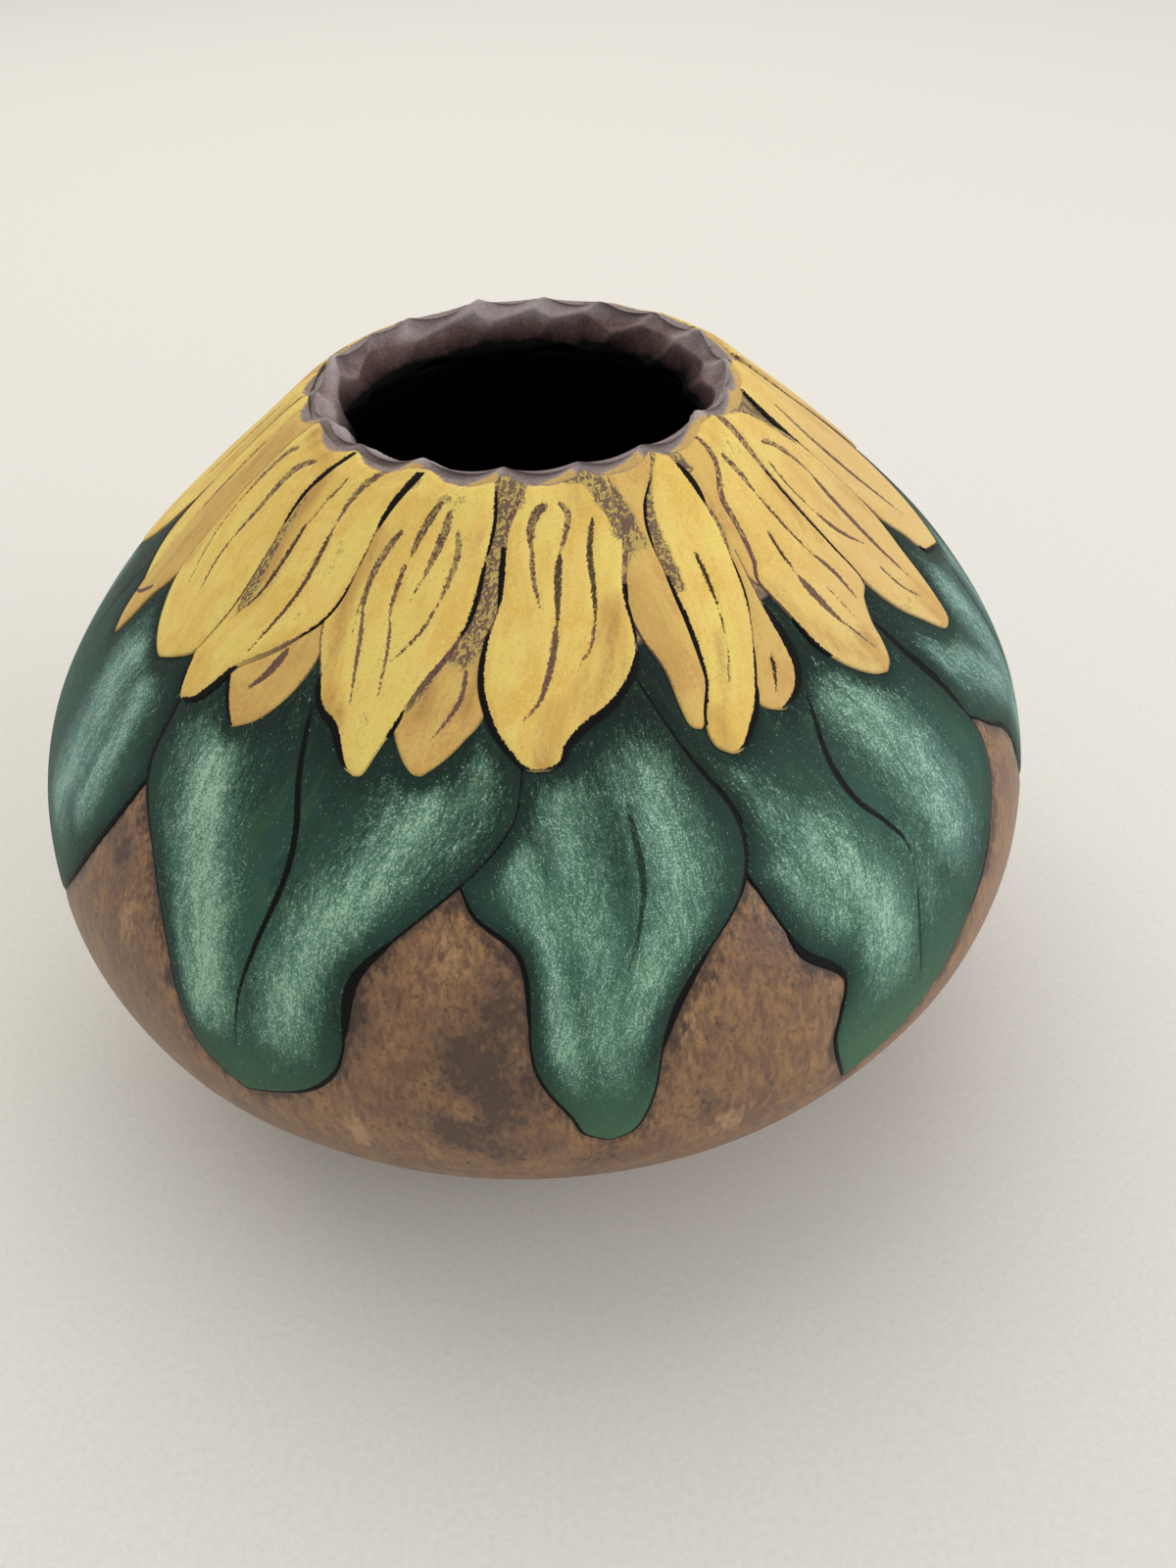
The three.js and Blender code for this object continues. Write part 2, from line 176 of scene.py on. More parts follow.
def evenly(points, step):
    lengths = lengthsOf(points)
    wanted = np.linspace(0, lengths[-1], max(2, int(round(lengths[-1] / step)) + 1))
    return np.stack([np.interp(wanted, lengths, column) for column in points.T], 1)


def outerSide():
    belly = np.array([gourdShape["bellyRadius"], bellyHeight])
    shoulder = bezier(mouthEdge, mouthEdge + gourdShape["mouthHandle"] * downSlope,
                      belly + np.array([0, gourdShape["bellyHandle"]]), belly)
    footAngle = -math.acos(gourdShape["footRadius"] / gourdShape["bellyRadius"])
    bowl = bowlArc(gourdShape["bellyRadius"], gourdShape["lowerDepth"], footAngle)
    return evenly(np.concatenate([shoulder, bowl[1:]]), 0.5)


def hollowSide(inset):
    top = seatFoot + np.array([gourdShape["hollowLean"] * inset, -inset])
    belly = np.array([gourdShape["bellyRadius"] - gourdShape["wall"] - inset, bellyHeight])
    upper, lower = gourdShape["hollowHandles"]
    shoulder = bezier(top, top + upper * gourdShape["mouthHandle"] * downSlope,
                      belly + np.array([0, lower * gourdShape["bellyHandle"]]), belly)
    bowl = bowlArc(belly[0], bellyHeight - gourdShape["floor"] - inset, -math.pi / 2)
    bowl[-1, 0] = 0
    return evenly(np.concatenate([shoulder, bowl[1:]]), 1.0)


side = outerSide()
sideLengths = lengthsOf(side)
sideScale = sideLengths[-1] / gourdShape["drawnSide"]


def skinRadius(down):
    return np.interp(down * sideScale, sideLengths, side[:, 0])


def onSkin(around, down):  # points in millimetres on the straight, even gourd
    radius = skinRadius(down)
    height = np.interp(down * sideScale, sideLengths, side[:, 1])
    return np.stack([radius * np.sin(around * degree), -radius * np.cos(around * degree), height], -1)


def newTree(name, sockets):  # a Geometry Nodes tree with the inputs named here, by kind
    tree = bpy.data.node_groups.new(name, "GeometryNodeTree")
    for kind, names in {"Geometry": ["Geometry"], "Material": ["Material"], **sockets}.items():
        for each in names:
            tree.interface.new_socket(each, in_out="INPUT", socket_type="NodeSocket" + kind)
    tree.interface.new_socket("Geometry", in_out="OUTPUT", socket_type="NodeSocketGeometry")
    return tree, addNode(tree, "NodeGroupInput").outputs


def endTree(tree, given, solid):
    real = addNode(tree, "GeometryNodeRealizeInstances", {"Geometry": solid})
    coated = addNode(tree, "GeometryNodeSetMaterial", {"Geometry": real, "Material": given["Material"]})
    addNode(tree, "NodeGroupOutput", {"Geometry": coated})
    return tree


# One tree bends a flat sheet (turn around, length along a path, height) onto the gourd, whose skin swells
# a little here and there and whose mouth leans aside
def makeWrapTree():
    tree, given = newTree("wrapOnGourd", {
        "Object": ["Path"],
        "Float": ["Start", "Lean", "Belly Height", "Shoulder Height", "Uneven", "Uneven Size"],
    })
    path = addNode(tree, "GeometryNodeObjectInfo", {"Object": given["Path"]}).outputs["Geometry"]
    curve = addNode(tree, "GeometryNodeMeshToCurve", {"Mesh": path})
    flat = addNode(tree, "ShaderNodeSeparateXYZ", {0: addNode(tree, "GeometryNodeInputPosition")}).outputs
    along = addNode(tree, "ShaderNodeMath", {0: flat[1], 1: given["Start"]}, operation="ADD")
    sample = addNode(tree, "GeometryNodeSampleCurve", {"Curves": curve, "Length": along}, mode="LENGTH")
    sample = sample.outputs
    turn = addNode(tree, "ShaderNodeMath", {0: flat[0], 1: math.pi / 2}, operation="SUBTRACT")
    tangent = addNode(tree, "ShaderNodeSeparateXYZ", {0: sample["Tangent"]}).outputs
    inward = addNode(tree, "ShaderNodeMath", {0: tangent[2], 1: -1.0}, operation="MULTIPLY")
    outFlat = addNode(tree, "ShaderNodeCombineXYZ", {0: inward, 2: tangent[0]})
    base, outward = (
        addNode(tree, "ShaderNodeVectorRotate", {"Vector": vector, "Angle": turn}, rotation_type="Z_AXIS")
        for vector in (sample["Position"], outFlat))
    grain = addNode(tree, "ShaderNodeMath", {0: 1.0, 1: given["Uneven Size"]}, operation="DIVIDE")
    noise = addNode(tree, "ShaderNodeTexNoise", {"Vector": base, "Scale": grain, "Detail": 1.0})
    height = addNode(tree, "ShaderNodeSeparateXYZ", {0: base}).outputs[2]
    fromFoot = addNode(tree, "ShaderNodeMapRange", {0: height, 1: 0.002, 2: 0.02},
                       interpolation_type="SMOOTHSTEP")
    rise = addNode(tree, "ShaderNodeMapRange", {0: noise, 1: 0.2, 2: 0.8, 3: -1.0, 4: 1.0})
    for operation, other in (("MULTIPLY", given["Uneven"]), ("MULTIPLY", fromFoot), ("ADD", flat[2])):
        rise = addNode(tree, "ShaderNodeMath", {0: rise, 1: other}, operation=operation)
    lift = addNode(tree, "ShaderNodeVectorMath", {0: outward, "Scale": rise}, operation="SCALE")
    upright = addNode(tree, "ShaderNodeVectorMath", {0: base, 1: lift}, operation="ADD")
    lean = addNode(tree, "ShaderNodeSeparateXYZ", {0: upright}).outputs[2]
    for operation, other in (("SUBTRACT", given["Belly Height"]), ("DIVIDE", given["Shoulder Height"]),
                             ("MAXIMUM", 0.0), ("POWER", 2.0), ("MULTIPLY", given["Lean"])):
        lean = addNode(tree, "ShaderNodeMath", {0: lean, 1: other}, operation=operation)
    sideways = addNode(tree, "ShaderNodeCombineXYZ", {0: lean})
    leaned = addNode(tree, "ShaderNodeVectorMath", {0: upright, 1: sideways}, operation="ADD")
    moved = addNode(tree, "GeometryNodeSetPosition", {"Geometry": given["Geometry"], "Position": leaned})
    merged = addNode(tree, "GeometryNodeMergeByDistance", {"Geometry": moved, "Distance": 0.00001})
    return endTree(tree, given, addNode(tree, "GeometryNodeSetShadeSmooth", {"Geometry": merged}))


# The gouge's scoops: the nearest scoop centre, in a sheet squeezed to the scoops' own shape, sets the height.
# The row of centres runs on past both ends of the sheet, so its seam doesn't show
def makeScoopTree():
    rows = ("Crest", "Inner")
    tree, given = newTree("gougeScoops", {
        "Int": ["Seed"] + [row + " Count" for row in rows],
        "Float": ["Squeeze", "Skew", "Depth", "Curve", "Jitter"]
                 + [row + end for row in rows for end in (" Line", " Shift")],
    })
    index = addNode(tree, "GeometryNodeInputIndex")
    joined = addNode(tree, "GeometryNodeJoinGeometry")
    for number, row in enumerate(rows):
        count = given[row + " Count"]
        spacing = addNode(tree, "ShaderNodeMath", {0: 2 * math.pi, 1: count}, operation="DIVIDE")
        wide = addNode(tree, "ShaderNodeMath", {0: spacing, 1: given["Squeeze"]}, operation="MULTIPLY")
        more = addNode(tree, "ShaderNodeMath", {0: count, 1: 6.0}, operation="ADD")
        early = addNode(tree, "ShaderNodeMath", {0: given[row + " Shift"], 1: 3.0}, operation="SUBTRACT")
        first = addNode(tree, "ShaderNodeMath", {0: wide, 1: early}, operation="MULTIPLY")
        start = addNode(tree, "ShaderNodeCombineXYZ", {0: first, 1: given[row + " Line"]})
        stride = addNode(tree, "ShaderNodeCombineXYZ", {0: wide})
        line = addNode(tree, "GeometryNodeMeshLine", {
            "Count": more, "Start Location": start, "Offset": stride})
        same = addNode(tree, "ShaderNodeMath", {0: index, 1: count}, operation="MODULO")
        amount = addNode(tree, "ShaderNodeMath", {0: wide, 1: given["Jitter"]}, operation="MULTIPLY")
        less = addNode(tree, "ShaderNodeMath", {0: amount, 1: -1.0}, operation="MULTIPLY")
        raised = addNode(tree, "ShaderNodeMath", {0: amount, 1: 2.0}, operation="MULTIPLY")
        low = addNode(tree, "ShaderNodeCombineXYZ", {0: less, 1: less})
        high = addNode(tree, "ShaderNodeCombineXYZ", {0: amount, 1: amount, 2: raised})
        seed = addNode(tree, "ShaderNodeMath", {0: given["Seed"], 1: float(number)}, operation="ADD")
        stray = addNode(tree, "FunctionNodeRandomValue", {0: low, 1: high, "ID": same, "Seed": seed},
                        data_type="FLOAT_VECTOR")
        strayed = addNode(tree, "GeometryNodeSetPosition", {"Geometry": line, "Offset": stray})
        tree.links.new(strayed.outputs[0], joined.inputs[0])
    flat = addNode(tree, "ShaderNodeSeparateXYZ", {0: addNode(tree, "GeometryNodeInputPosition")}).outputs
    straight = addNode(tree, "ShaderNodeMath", {0: flat[0], 1: given["Squeeze"]}, operation="MULTIPLY")
    across = addNode(tree, "ShaderNodeMath", {0: flat[1], 1: given["Skew"], 2: straight},
                     operation="MULTIPLY_ADD")
    seen = addNode(tree, "ShaderNodeCombineXYZ", {0: across, 1: flat[1]})
    near = addNode(tree, "GeometryNodeProximity", {0: joined, 2: seen}, target_element="POINTS")
    near = near.outputs["Distance"]
    most, carve = (addNode(tree, "GeometryNodeInputNamedAttribute", {"Name": each}, data_type="FLOAT")
                   for each in ("most", "carve"))
    scoop = near
    for operation, other in (("MULTIPLY", near), ("MULTIPLY", given["Curve"]), ("SUBTRACT", given["Depth"]),
                             ("MINIMUM", most)):
        scoop = addNode(tree, "ShaderNodeMath", {0: scoop, 1: other}, operation=operation)
    height = addNode(tree, "ShaderNodeMath", {0: scoop, 1: carve}, operation="MULTIPLY")
    offset = addNode(tree, "ShaderNodeCombineXYZ", {2: height})
    cut = addNode(tree, "GeometryNodeSetPosition", {"Geometry": given["Geometry"], "Offset": offset})
    return endTree(tree, given, addNode(
        tree, "GeometryNodeStoreNamedAttribute", {"Geometry": cut, "Name": "scoop", "Value": scoop},
        data_type="FLOAT", domain="POINT"))


wrapTree = makeWrapTree()
scoopTree = makeScoopTree()


def setInputs(modifier, values):
    for item in modifier.node_group.interface.items_tree:
        if item.item_type == "SOCKET" and item.in_out == "INPUT" and item.name in values:
            modifier[item.identifier] = values[item.name]


def newObject(name, corners, edges, faces, attributes=None):
    mesh = bpy.data.meshes.new(name)
    mesh.from_pydata(corners.tolist(), edges, faces)
    for key, value in (attributes or {}).items():
        kind, part = ("FLOAT_VECTOR", "vector") if value.ndim == 2 else ("FLOAT", "value")
        layer = mesh.attributes.new(key, kind, "POINT")
        layer.data.foreach_set(part, value.astype(np.float32).ravel())
    piece = bpy.data.objects.new(name, mesh)
    bpy.context.scene.collection.objects.link(piece)
    return piece


def pathObject(name, points):
    corners = np.stack([points[:, 0], np.zeros(len(points)), points[:, 1]], 1) * mm
    return newObject(name, corners, [(i, i + 1) for i in range(len(points) - 1)], [])


# Rows run down the gourd and columns run around it, so these faces look outwards once wrapped
def gridFaces(rows, columns):
    first = (np.arange(rows)[:, None] * (columns + 1) + np.arange(columns)[None, :]).ravel()
    return np.stack([first, first + columns + 1, first + columns + 2, first + 1], 1).tolist()


def settle(piece):  # the evaluated result takes the place of the flat sheet
    depsgraph = bpy.context.evaluated_depsgraph_get()
    mesh = bpy.data.meshes.new_from_object(piece.evaluated_get(depsgraph), preserve_all_data_layers=True,
                                           depsgraph=depsgraph)
    flat = piece.data
    piece.modifiers.clear()
    piece.data = mesh
    bpy.data.meshes.remove(flat)


def wrap(piece, path, start, uneven, material):
    modifier = piece.modifiers.new("wrap", "NODES")
    modifier.node_group = wrapTree
    setInputs(modifier, {
        "Path": path,
        "Start": start * mm,
        "Lean": gourdShape["mouthLean"] * mm,
        "Belly Height": bellyHeight * mm,
        "Shoulder Height": gourdShape["shoulderHeight"] * mm,
        "Uneven": uneven * mm,
        "Uneven Size": gourdShape["unevenSize"] * mm,
        "Material": material,
    })
    settle(piece)


def ringSheet(name, rows, columns, height, attributes=None):  # a whole turn, rows in mm along a path
    around = np.linspace(0, 2 * math.pi, columns + 1)
    turn, along = np.meshgrid(around, rows * mm)
    corners = np.stack([turn.ravel(), along.ravel(), height * mm], 1)
    return newObject(name, corners, [], gridFaces(len(rows) - 1, columns), attributes)


# The painted fields, read off the photograph: degrees around from the front, mm down from the mouth.
# Each is listed in front of the ones it overlaps. A stroke is (points, width in mm, blackness) and ink
# is (side, from, to, added width, blackness) of an edge line. Shade, worn and glow are brushed patches,
# each (points, reach in mm, strength): darker ochre, bared umber, and the pale dry brushing on leaves
petals = {
    "04": {
        "left": [(-66, 0), (-69, 8), (-70, 15), (-69.5, 23), (-68.5, 30), (-64.5, 35.5), (-60.8, 38.6),
                 (-58.6, 39.5)],
        "right": [(-45.5, 0), (-50, 5), (-51.8, 10), (-50.6, 17), (-50.2, 26), (-51.4, 32), (-52.6, 35.4),
                  (-55.5, 37.7), (-58.6, 39.5)],
        "strokes": [([(-62.7, 4), (-65.6, 6), (-67.3, 10), (-67.7, 16)], 1.0, 0.1),
                    ([(-67.7, 16), (-66.8, 22), (-63, 30)], 0.35, 0.1),
                    ([(-53.8, 4), (-57.8, 6), (-59.6, 9), (-60.4, 15), (-61.1, 20.7)], 1.2, 0.1),
                    ([(-61.1, 20), (-60.8, 24), (-59.3, 29)], 0.45, 0.5)],
        "ink": [("right", -3, 7, 0.45, 1.0), ("right", 3, 14, 0.4, 1.0)],
        "shade": [([(-62, 1), (-52, 3)], 2.2, 0.8), ([(-53, 12), (-52, 22), (-54, 32)], 2.2, 0.15),
                  ([(-69, 5), (-70, 16), (-68, 27)], 1.4, 0.6)],
    },
    "05": {
        "left": [(-52, 0), (-56, 12), (-55, 26), (-52.2, 34.6), (-51.4, 38), (-50.4, 41), (-49.6, 41.5)],
        "right": [(-25, 0), (-29, 6), (-30, 14), (-31, 20), (-33, 24), (-37, 28), (-43.5, 33.6), (-45.6, 37),
                  (-47.6, 40.2), (-49.6, 41.5)],
        "strokes": [([(-42, 4), (-44.4, 9), (-45.5, 13)], 0.5, 0.2),
                    ([(-45.6, 12), (-45.7, 18), (-46.4, 23.5), (-48.6, 27.5)], 0.75, 0.7),
                    ([(-33, 1), (-36.5, 3.8), (-38.4, 7), (-38.9, 11)], 1.1, 0.2),
                    ([(-38.9, 10.5), (-38.8, 18), (-39.6, 23), (-42.6, 31.5)], 0.75, 0.6)],
        "ink": [("right", -6, 10, 0.9, 1.0), ("right", 17, 27, 0.2, 0.8), ("right", 26, 35, 0.45, 0.0),
                ("right", 33.5, 42, 0.9, 1.0), ("left", 36, 41.5, 0.5, 1.0)],
        "shade": [([(-50, 5), (-48.6, 14), (-48.4, 24)], 2.8, 1.1), ([(-49, 36), (-49.5, 41)], 2.0, 0.5),
                  ([(-31, 1), (-34, 2)], 2.0, 0.5)],
        "worn": [([(-50, 9), (-49.4, 18), (-48.6, 27)], 1.2, 0.7)],
    },
    "07": {
        "left": [(-33, 0), (-34, 12), (-32, 24), (-29.3, 30), (-27.5, 34), (-24.3, 36.5), (-22, 41),
                 (-20.6, 42.3)],
        "right": [(-6, 0), (-5.6, 7), (-7.2, 14.5), (-8.6, 20.5), (-10.5, 24), (-14, 29), (-16, 33),
                  (-17.6, 37), (-18.6, 39.5), (-19.6, 42), (-20.6, 42.3)],
        "strokes": [([(-23.8, 9), (-25.8, 12.5), (-26.8, 17), (-26, 22)], 1.1, 0.2),
                    ([(-26, 21), (-24.7, 26), (-23.4, 33.5)], 0.6, 0.0),
                    ([(-27.2, 19), (-26.6, 24.5)], 0.25, 0.5),
                    ([(-17, 4.3), (-19.2, 8), (-20.7, 13)], 1.2, 0.4),
                    ([(-21.2, 13.5), (-21.5, 18), (-21.3, 21.5)], 0.7, 0.35),
                    ([(-21, 21.5), (-20.1, 26), (-19.8, 31.8)], 0.5, 0.0),
                    ([(-14.7, 5.4), (-15.1, 9), (-16.6, 13.5), (-17.4, 16)], 1.2, 0.3),
                    ([(-17.7, 15.8), (-18.5, 18.6)], 0.3, 1.0),
                    ([(-12.4, 8.3), (-11.7, 11.5), (-12.6, 15.5), (-14, 19.3)], 0.9, 0.2),
                    ([(-14, 18.8), (-15.6, 22.4), (-19.3, 27)], 0.5, 0.5)],
        "ink": [("left", 30, 42, 0.9, 1.0), ("right", 2, 12, 0.3, 1.0), ("right", 12, 23, 0.5, 1.0),
                ("right", 22, 33, 0.6, 0.3), ("right", 33, 37, 0.4, 1.0)],
        "shade": [([(-29, 10), (-29, 20), (-28, 30), (-25, 35)], 1.7, 0.9), ([(-9, 8), (-8, 13)], 1.6, 0.4)],
        "worn": [([(-27, 3), (-22, 5), (-17, 2)], 2.6, 0.28)],
    },
    "06": {
        "left": [(-45, 18), (-45, 28), (-44, 34), (-41.3, 38.8), (-39.4, 41.1)],
        "right": [(-31, 18), (-30.6, 26), (-31.3, 30.5), (-33.3, 35), (-36.3, 39), (-39.4, 41.1)],
        "strokes": [([(-36, 28.5), (-37.4, 32.5), (-39.6, 35.8)], 1.3, 0.2)],
        "ink": [("left", 32, 41.5, 0.5, 1.0)],
        "shade": [([(-31, 24), (-35, 32)], 2.5, 0.4)],
        "ochre": True,
    },
    "09": {
        "left": [(1, 0), (-0.5, 5), (-2.5, 9), (-3.1, 17), (-5, 23), (-5.3, 29), (-3.6, 34.5), (-0.9, 38.8),
                 (0.5, 40.2), (2.4, 40.4)],
        "right": [(20, 0), (19.5, 10), (16.8, 18), (16.6, 25.5), (14.6, 29.5), (11.5, 32.6), (7.5, 35),
                  (5, 37.4), (4.2, 39.6), (2.4, 40.4)],
        "strokes": [([(5.8, 4.9), (3.4, 5.9), (2, 8.2), (1.9, 11.5)], 1.3, 0.4),
                    ([(2, 10.5), (2.1, 15), (3, 19.3)], 0.7, 0.4),
                    ([(8, 4.7), (9.6, 6.6), (8.5, 9.5), (6.8, 12.5)], 0.9, 0.2),
                    ([(7.2, 12), (6.5, 14), (5.9, 18), (5.3, 22.5)], 1.0, 0.7),
                    ([(5.3, 21.5), (4.3, 26), (2.4, 31.2), (0, 34)], 0.9, 0.15),
                    ([(14.4, 7.7), (12.6, 12), (12, 17.5), (11.2, 22.8)], 0.85, 0.8),
                    ([(11.2, 22), (9.8, 25.5), (7.3, 27.8)], 0.5, 0.1)],
        "ink": [("left", 2, 12, 0.4, 0.2), ("left", 10, 19, 0.6, 1.0), ("left", 21, 41, 0.7, 1.0),
                ("right", 12, 20, 0.5, 0.1), ("right", 17, 26, 0.3, 1.0), ("right", 26, 41, 0.9, 1.0)],
        "shade": [([(14, 20), (13, 27), (8, 32.5)], 2.4, 0.7), ([(4, 33), (2.4, 40)], 2.4, 0.7),
                  ([(13, 2), (13, 6)], 2.2, 0.6)],
        "worn": [([(11, 1), (16, 1.5), (18, 6), (20, 10)], 1.6, 0.9), ([(1, 0.5), (-1.5, 4)], 1.3, 0.8)],
    },
    "08": {
        "left": [(-10, 0), (-14, 14), (-17, 28), (-17, 34), (-15.3, 38.5), (-13.5, 40.9), (-12.3, 41.2)],
        "right": [(4, 0), (-1, 18), (-4.8, 32), (-7.7, 36.5), (-10, 39.2), (-12.3, 41.2)],
        "strokes": [([(-7.9, 27), (-8.5, 31.5), (-11.8, 36.8)], 0.7, 0.1)],
        "shade": [([(-14, 26), (-13, 33)], 1.8, 0.9), ([(-6, 26), (-7.5, 33)], 1.2, 0.7)],
        "worn": [([(-3, 0), (-4.5, 10), (-6, 18), (-9, 24)], 3.4, 1.0), ([(-11, 25), (-15.5, 33)], 1.0, 0.7)],
        "ochre": True,
    },
    "11": {
        "left": [(34, 0), (29.5, 4.5), (26, 8), (24.7, 13), (25.4, 20), (25.8, 26), (25.2, 33), (23.2, 38.2),
                 (23.3, 41.5), (25, 43.3)],
        "right": [(36.5, 0.5), (38.2, 7), (38.6, 13), (37.6, 19), (35.8, 26), (32.6, 33), (30.3, 37.8),
                  (28.5, 40.4), (26.4, 43), (25, 43.3)],
        "strokes": [([(31.6, 16), (31.5, 20), (31, 25)], 0.65, 1.0),
                    ([(30.9, 25), (30.2, 28.3)], 0.35, 1.0),
                    ([(29.7, 30), (27.7, 34.7)], 0.25, 0.3)],
        "ink": [("right", 3, 10.5, 0.8, 1.0), ("right", 10, 18, 0.5, 0.1), ("right", 19, 27, 0.2, 1.0),
                ("right", 31, 38, 0.2, 0.8), ("right", 36, 43.5, 0.7, 1.0), ("left", 4, 14, 0.2, 0.9),
                ("left", 17, 34, 0.5, 1.0), ("left", 33, 39, 0.3, 1.0)],
        "shade": [([(24.5, 38), (25, 42)], 2.4, 0.8), ([(29, 28), (26, 37)], 1.2, 0.5)],
        "worn": [([(33, 1), (29, 4), (26.4, 8), (25.7, 13), (26.2, 20)], 0.9, 1.0)],
    },
    "10": {
        "left": [(15, 0), (14, 12), (16.2, 19), (17.9, 25), (19.9, 30), (20.5, 35), (21, 38), (22.2, 38.9)],
        "right": [(35, 0), (30, 14), (28, 30), (24, 36.5), (22.2, 38.9)],
        "strokes": [],
        "shade": [([(19, 18), (22, 30)], 2.4, 0.5)],
        "worn": [([(17, 1), (19, 5), (21, 9), (21.4, 12)], 1.7, 0.9), ([(19.8, 13), (17, 16.5)], 0.6, 0.8)],
        "ochre": True,
    },
    "14": {
        "left": [(48, 0), (48.4, 5.5), (44, 10.6), (43.3, 15), (42, 20.5), (40.4, 23.6), (42, 29.5),
                 (43.6, 35.5), (46, 39.8), (49.3, 43.3), (51.7, 44.6)],
        "right": [(58.4, 0), (57.8, 14), (58.6, 26), (59.2, 32.6), (56.6, 34.8), (54.8, 38), (54.2, 41),
                  (53.2, 43.6), (51.7, 44.6)],
        "strokes": [([(50.2, 5.3), (51, 9), (51.2, 13.5)], 1.0, 0.1),
                    ([(51.2, 13), (52, 19), (53.5, 26)], 0.5, 0.7),
                    ([(53.5, 25), (54.8, 29), (55.2, 34)], 0.8, 0.1),
                    ([(47.8, 18), (47.4, 22), (47.7, 27)], 0.6, 0.7),
                    ([(47.6, 26), (48.5, 31), (49.8, 35.5)], 1.3, 0.1),
                    ([(49.8, 35), (51.2, 38.5), (52.2, 41)], 0.4, 0.0),
                    ([(51, 28.5), (52.5, 36)], 0.25, 0.5)],
        "ink": [("left", -3, 25, 0.6, 0.15), ("left", 30, 38, 0.35, 1.0), ("right", -4, 12, 1.2, 0.1),
                ("right", 10, 34, 0.4, 0.85)],
        "shade": [([(42, 25), (45, 34), (49, 41)], 1.8, 0.6), ([(57, 8), (57, 24)], 1.6, 0.5),
                  ([(52, 39), (52, 44)], 2.4, 0.8), ([(56, 1), (52, 3)], 2.2, 0.4)],
    },
    "12": {
        "left": [(33, 18), (31, 28), (30.6, 36.5), (31.2, 39), (33.4, 40.5)],
        "right": [(39.2, 18), (38.4, 26), (38.3, 32), (37.9, 36), (36.3, 38.8), (33.4, 40.5)],
        "strokes": [([(35.6, 33), (34.8, 35.4), (33.5, 38.3)], 0.6, 1.0)],
        "ink": [("right", 26, 41, 1.2, 1.0)],
        "ochre": True,
    },
    "13": {
        "left": [(34, 0), (35, 10), (37.5, 18), (39.8, 24)],
        "right": [(50, 0), (50, 8), (45, 17), (39.8, 24)],
        "strokes": [],
        "worn": [([(38, 0), (39.5, 5)], 1.0, 0.7)],
        "ochre": True,
    },
    "15": {
        "left": [(60, 0), (59, 14), (59.2, 27), (60, 34), (62.2, 40), (65.4, 45), (68, 48.9), (69.3, 49.4)],
        "right": [(65, 0), (74, 9), (76.6, 17), (76, 29), (73.6, 37), (72.3, 43), (70.8, 48.5), (69.3, 49.4)],
        "strokes": [([(64.3, 8), (67.2, 9.6), (69.4, 13.5), (69.8, 18)], 1.1, 0.1),
                    ([(69.8, 17), (68.8, 22), (68.5, 31), (69.5, 40)], 1.1, 0.1),
                    ([(61.3, 10.5), (60.7, 15), (61.5, 21.5)], 0.5, 0.3),
                    ([(61.5, 21), (63, 25.5), (66, 30)], 0.8, 0.1),
                    ([(65, 34), (66, 38.8), (68.3, 43)], 0.5, 0.3)],
        "shade": [([(74, 16), (74.5, 28)], 1.8, 0.4), ([(69, 42), (69.3, 49)], 2.4, 0.8),
                  ([(66, 14), (65, 24)], 2.4, 0.4)],
        "worn": [([(66, 1), (71, 5), (75, 12)], 1.2, 0.8)],
    },
    "16": {
        "left": [(80, 0), (77.3, 5), (77, 20), (77, 31), (79, 37), (80.6, 42), (84.5, 45), (88.6, 47.8)],
        "right": [(97, 0), (100, 14), (99, 28), (94, 41), (88.6, 47.8)],
        "strokes": [([(84, 8), (82.3, 17), (82.5, 26), (85, 38)], 1.2, 0.1)],
        "ink": [("left", 1, 17, 0.8, 0.9), ("left", 17, 33, 0.5, 0.1), ("left", 41, 48, 0.6, 1.0)],
        "shade": [([(94, 4), (95, 24)], 3.0, 0.5)],
    },
    "03": {
        "left": [(-79, 0), (-80.5, 15), (-79.6, 30), (-77.6, 38), (-75.8, 42.5), (-73.6, 45.2)],
        "right": [(-64, 0), (-66, 16), (-69, 30), (-71.6, 36), (-72.4, 41), (-73.6, 45.2)],
        "strokes": [([(-72.7, 35.3), (-75.5, 38.4), (-79, 39.8)], 0.8, 0.1)],
        "shade": [([(-73, 4), (-74, 24), (-73, 34)], 3.0, 0.5)],
        "ochre": True,
    },
    "02": {
        "left": [(-86, 0), (-88, 11), (-88, 22), (-85, 32), (-78, 37.5)],
        "right": [(-77, 0), (-76, 15), (-76, 30), (-78, 37.5)],
        "strokes": [([(-80.7, 8.7), (-81, 19.3), (-80, 27.3)], 0.8, 0.1)],
    },
    "01": {
        "left": [(-101, 0), (-105, 13), (-105, 28), (-102, 38), (-98, 45)],
        "right": [(-87, 0), (-88.5, 12), (-88.5, 26), (-92, 37), (-98, 45)],
        "strokes": [([(-94, 6), (-96, 16), (-96.5, 30)], 0.9, 0.1)],
        "shade": [([(-90, 4), (-91, 24)], 2.5, 0.6)],
    },
}
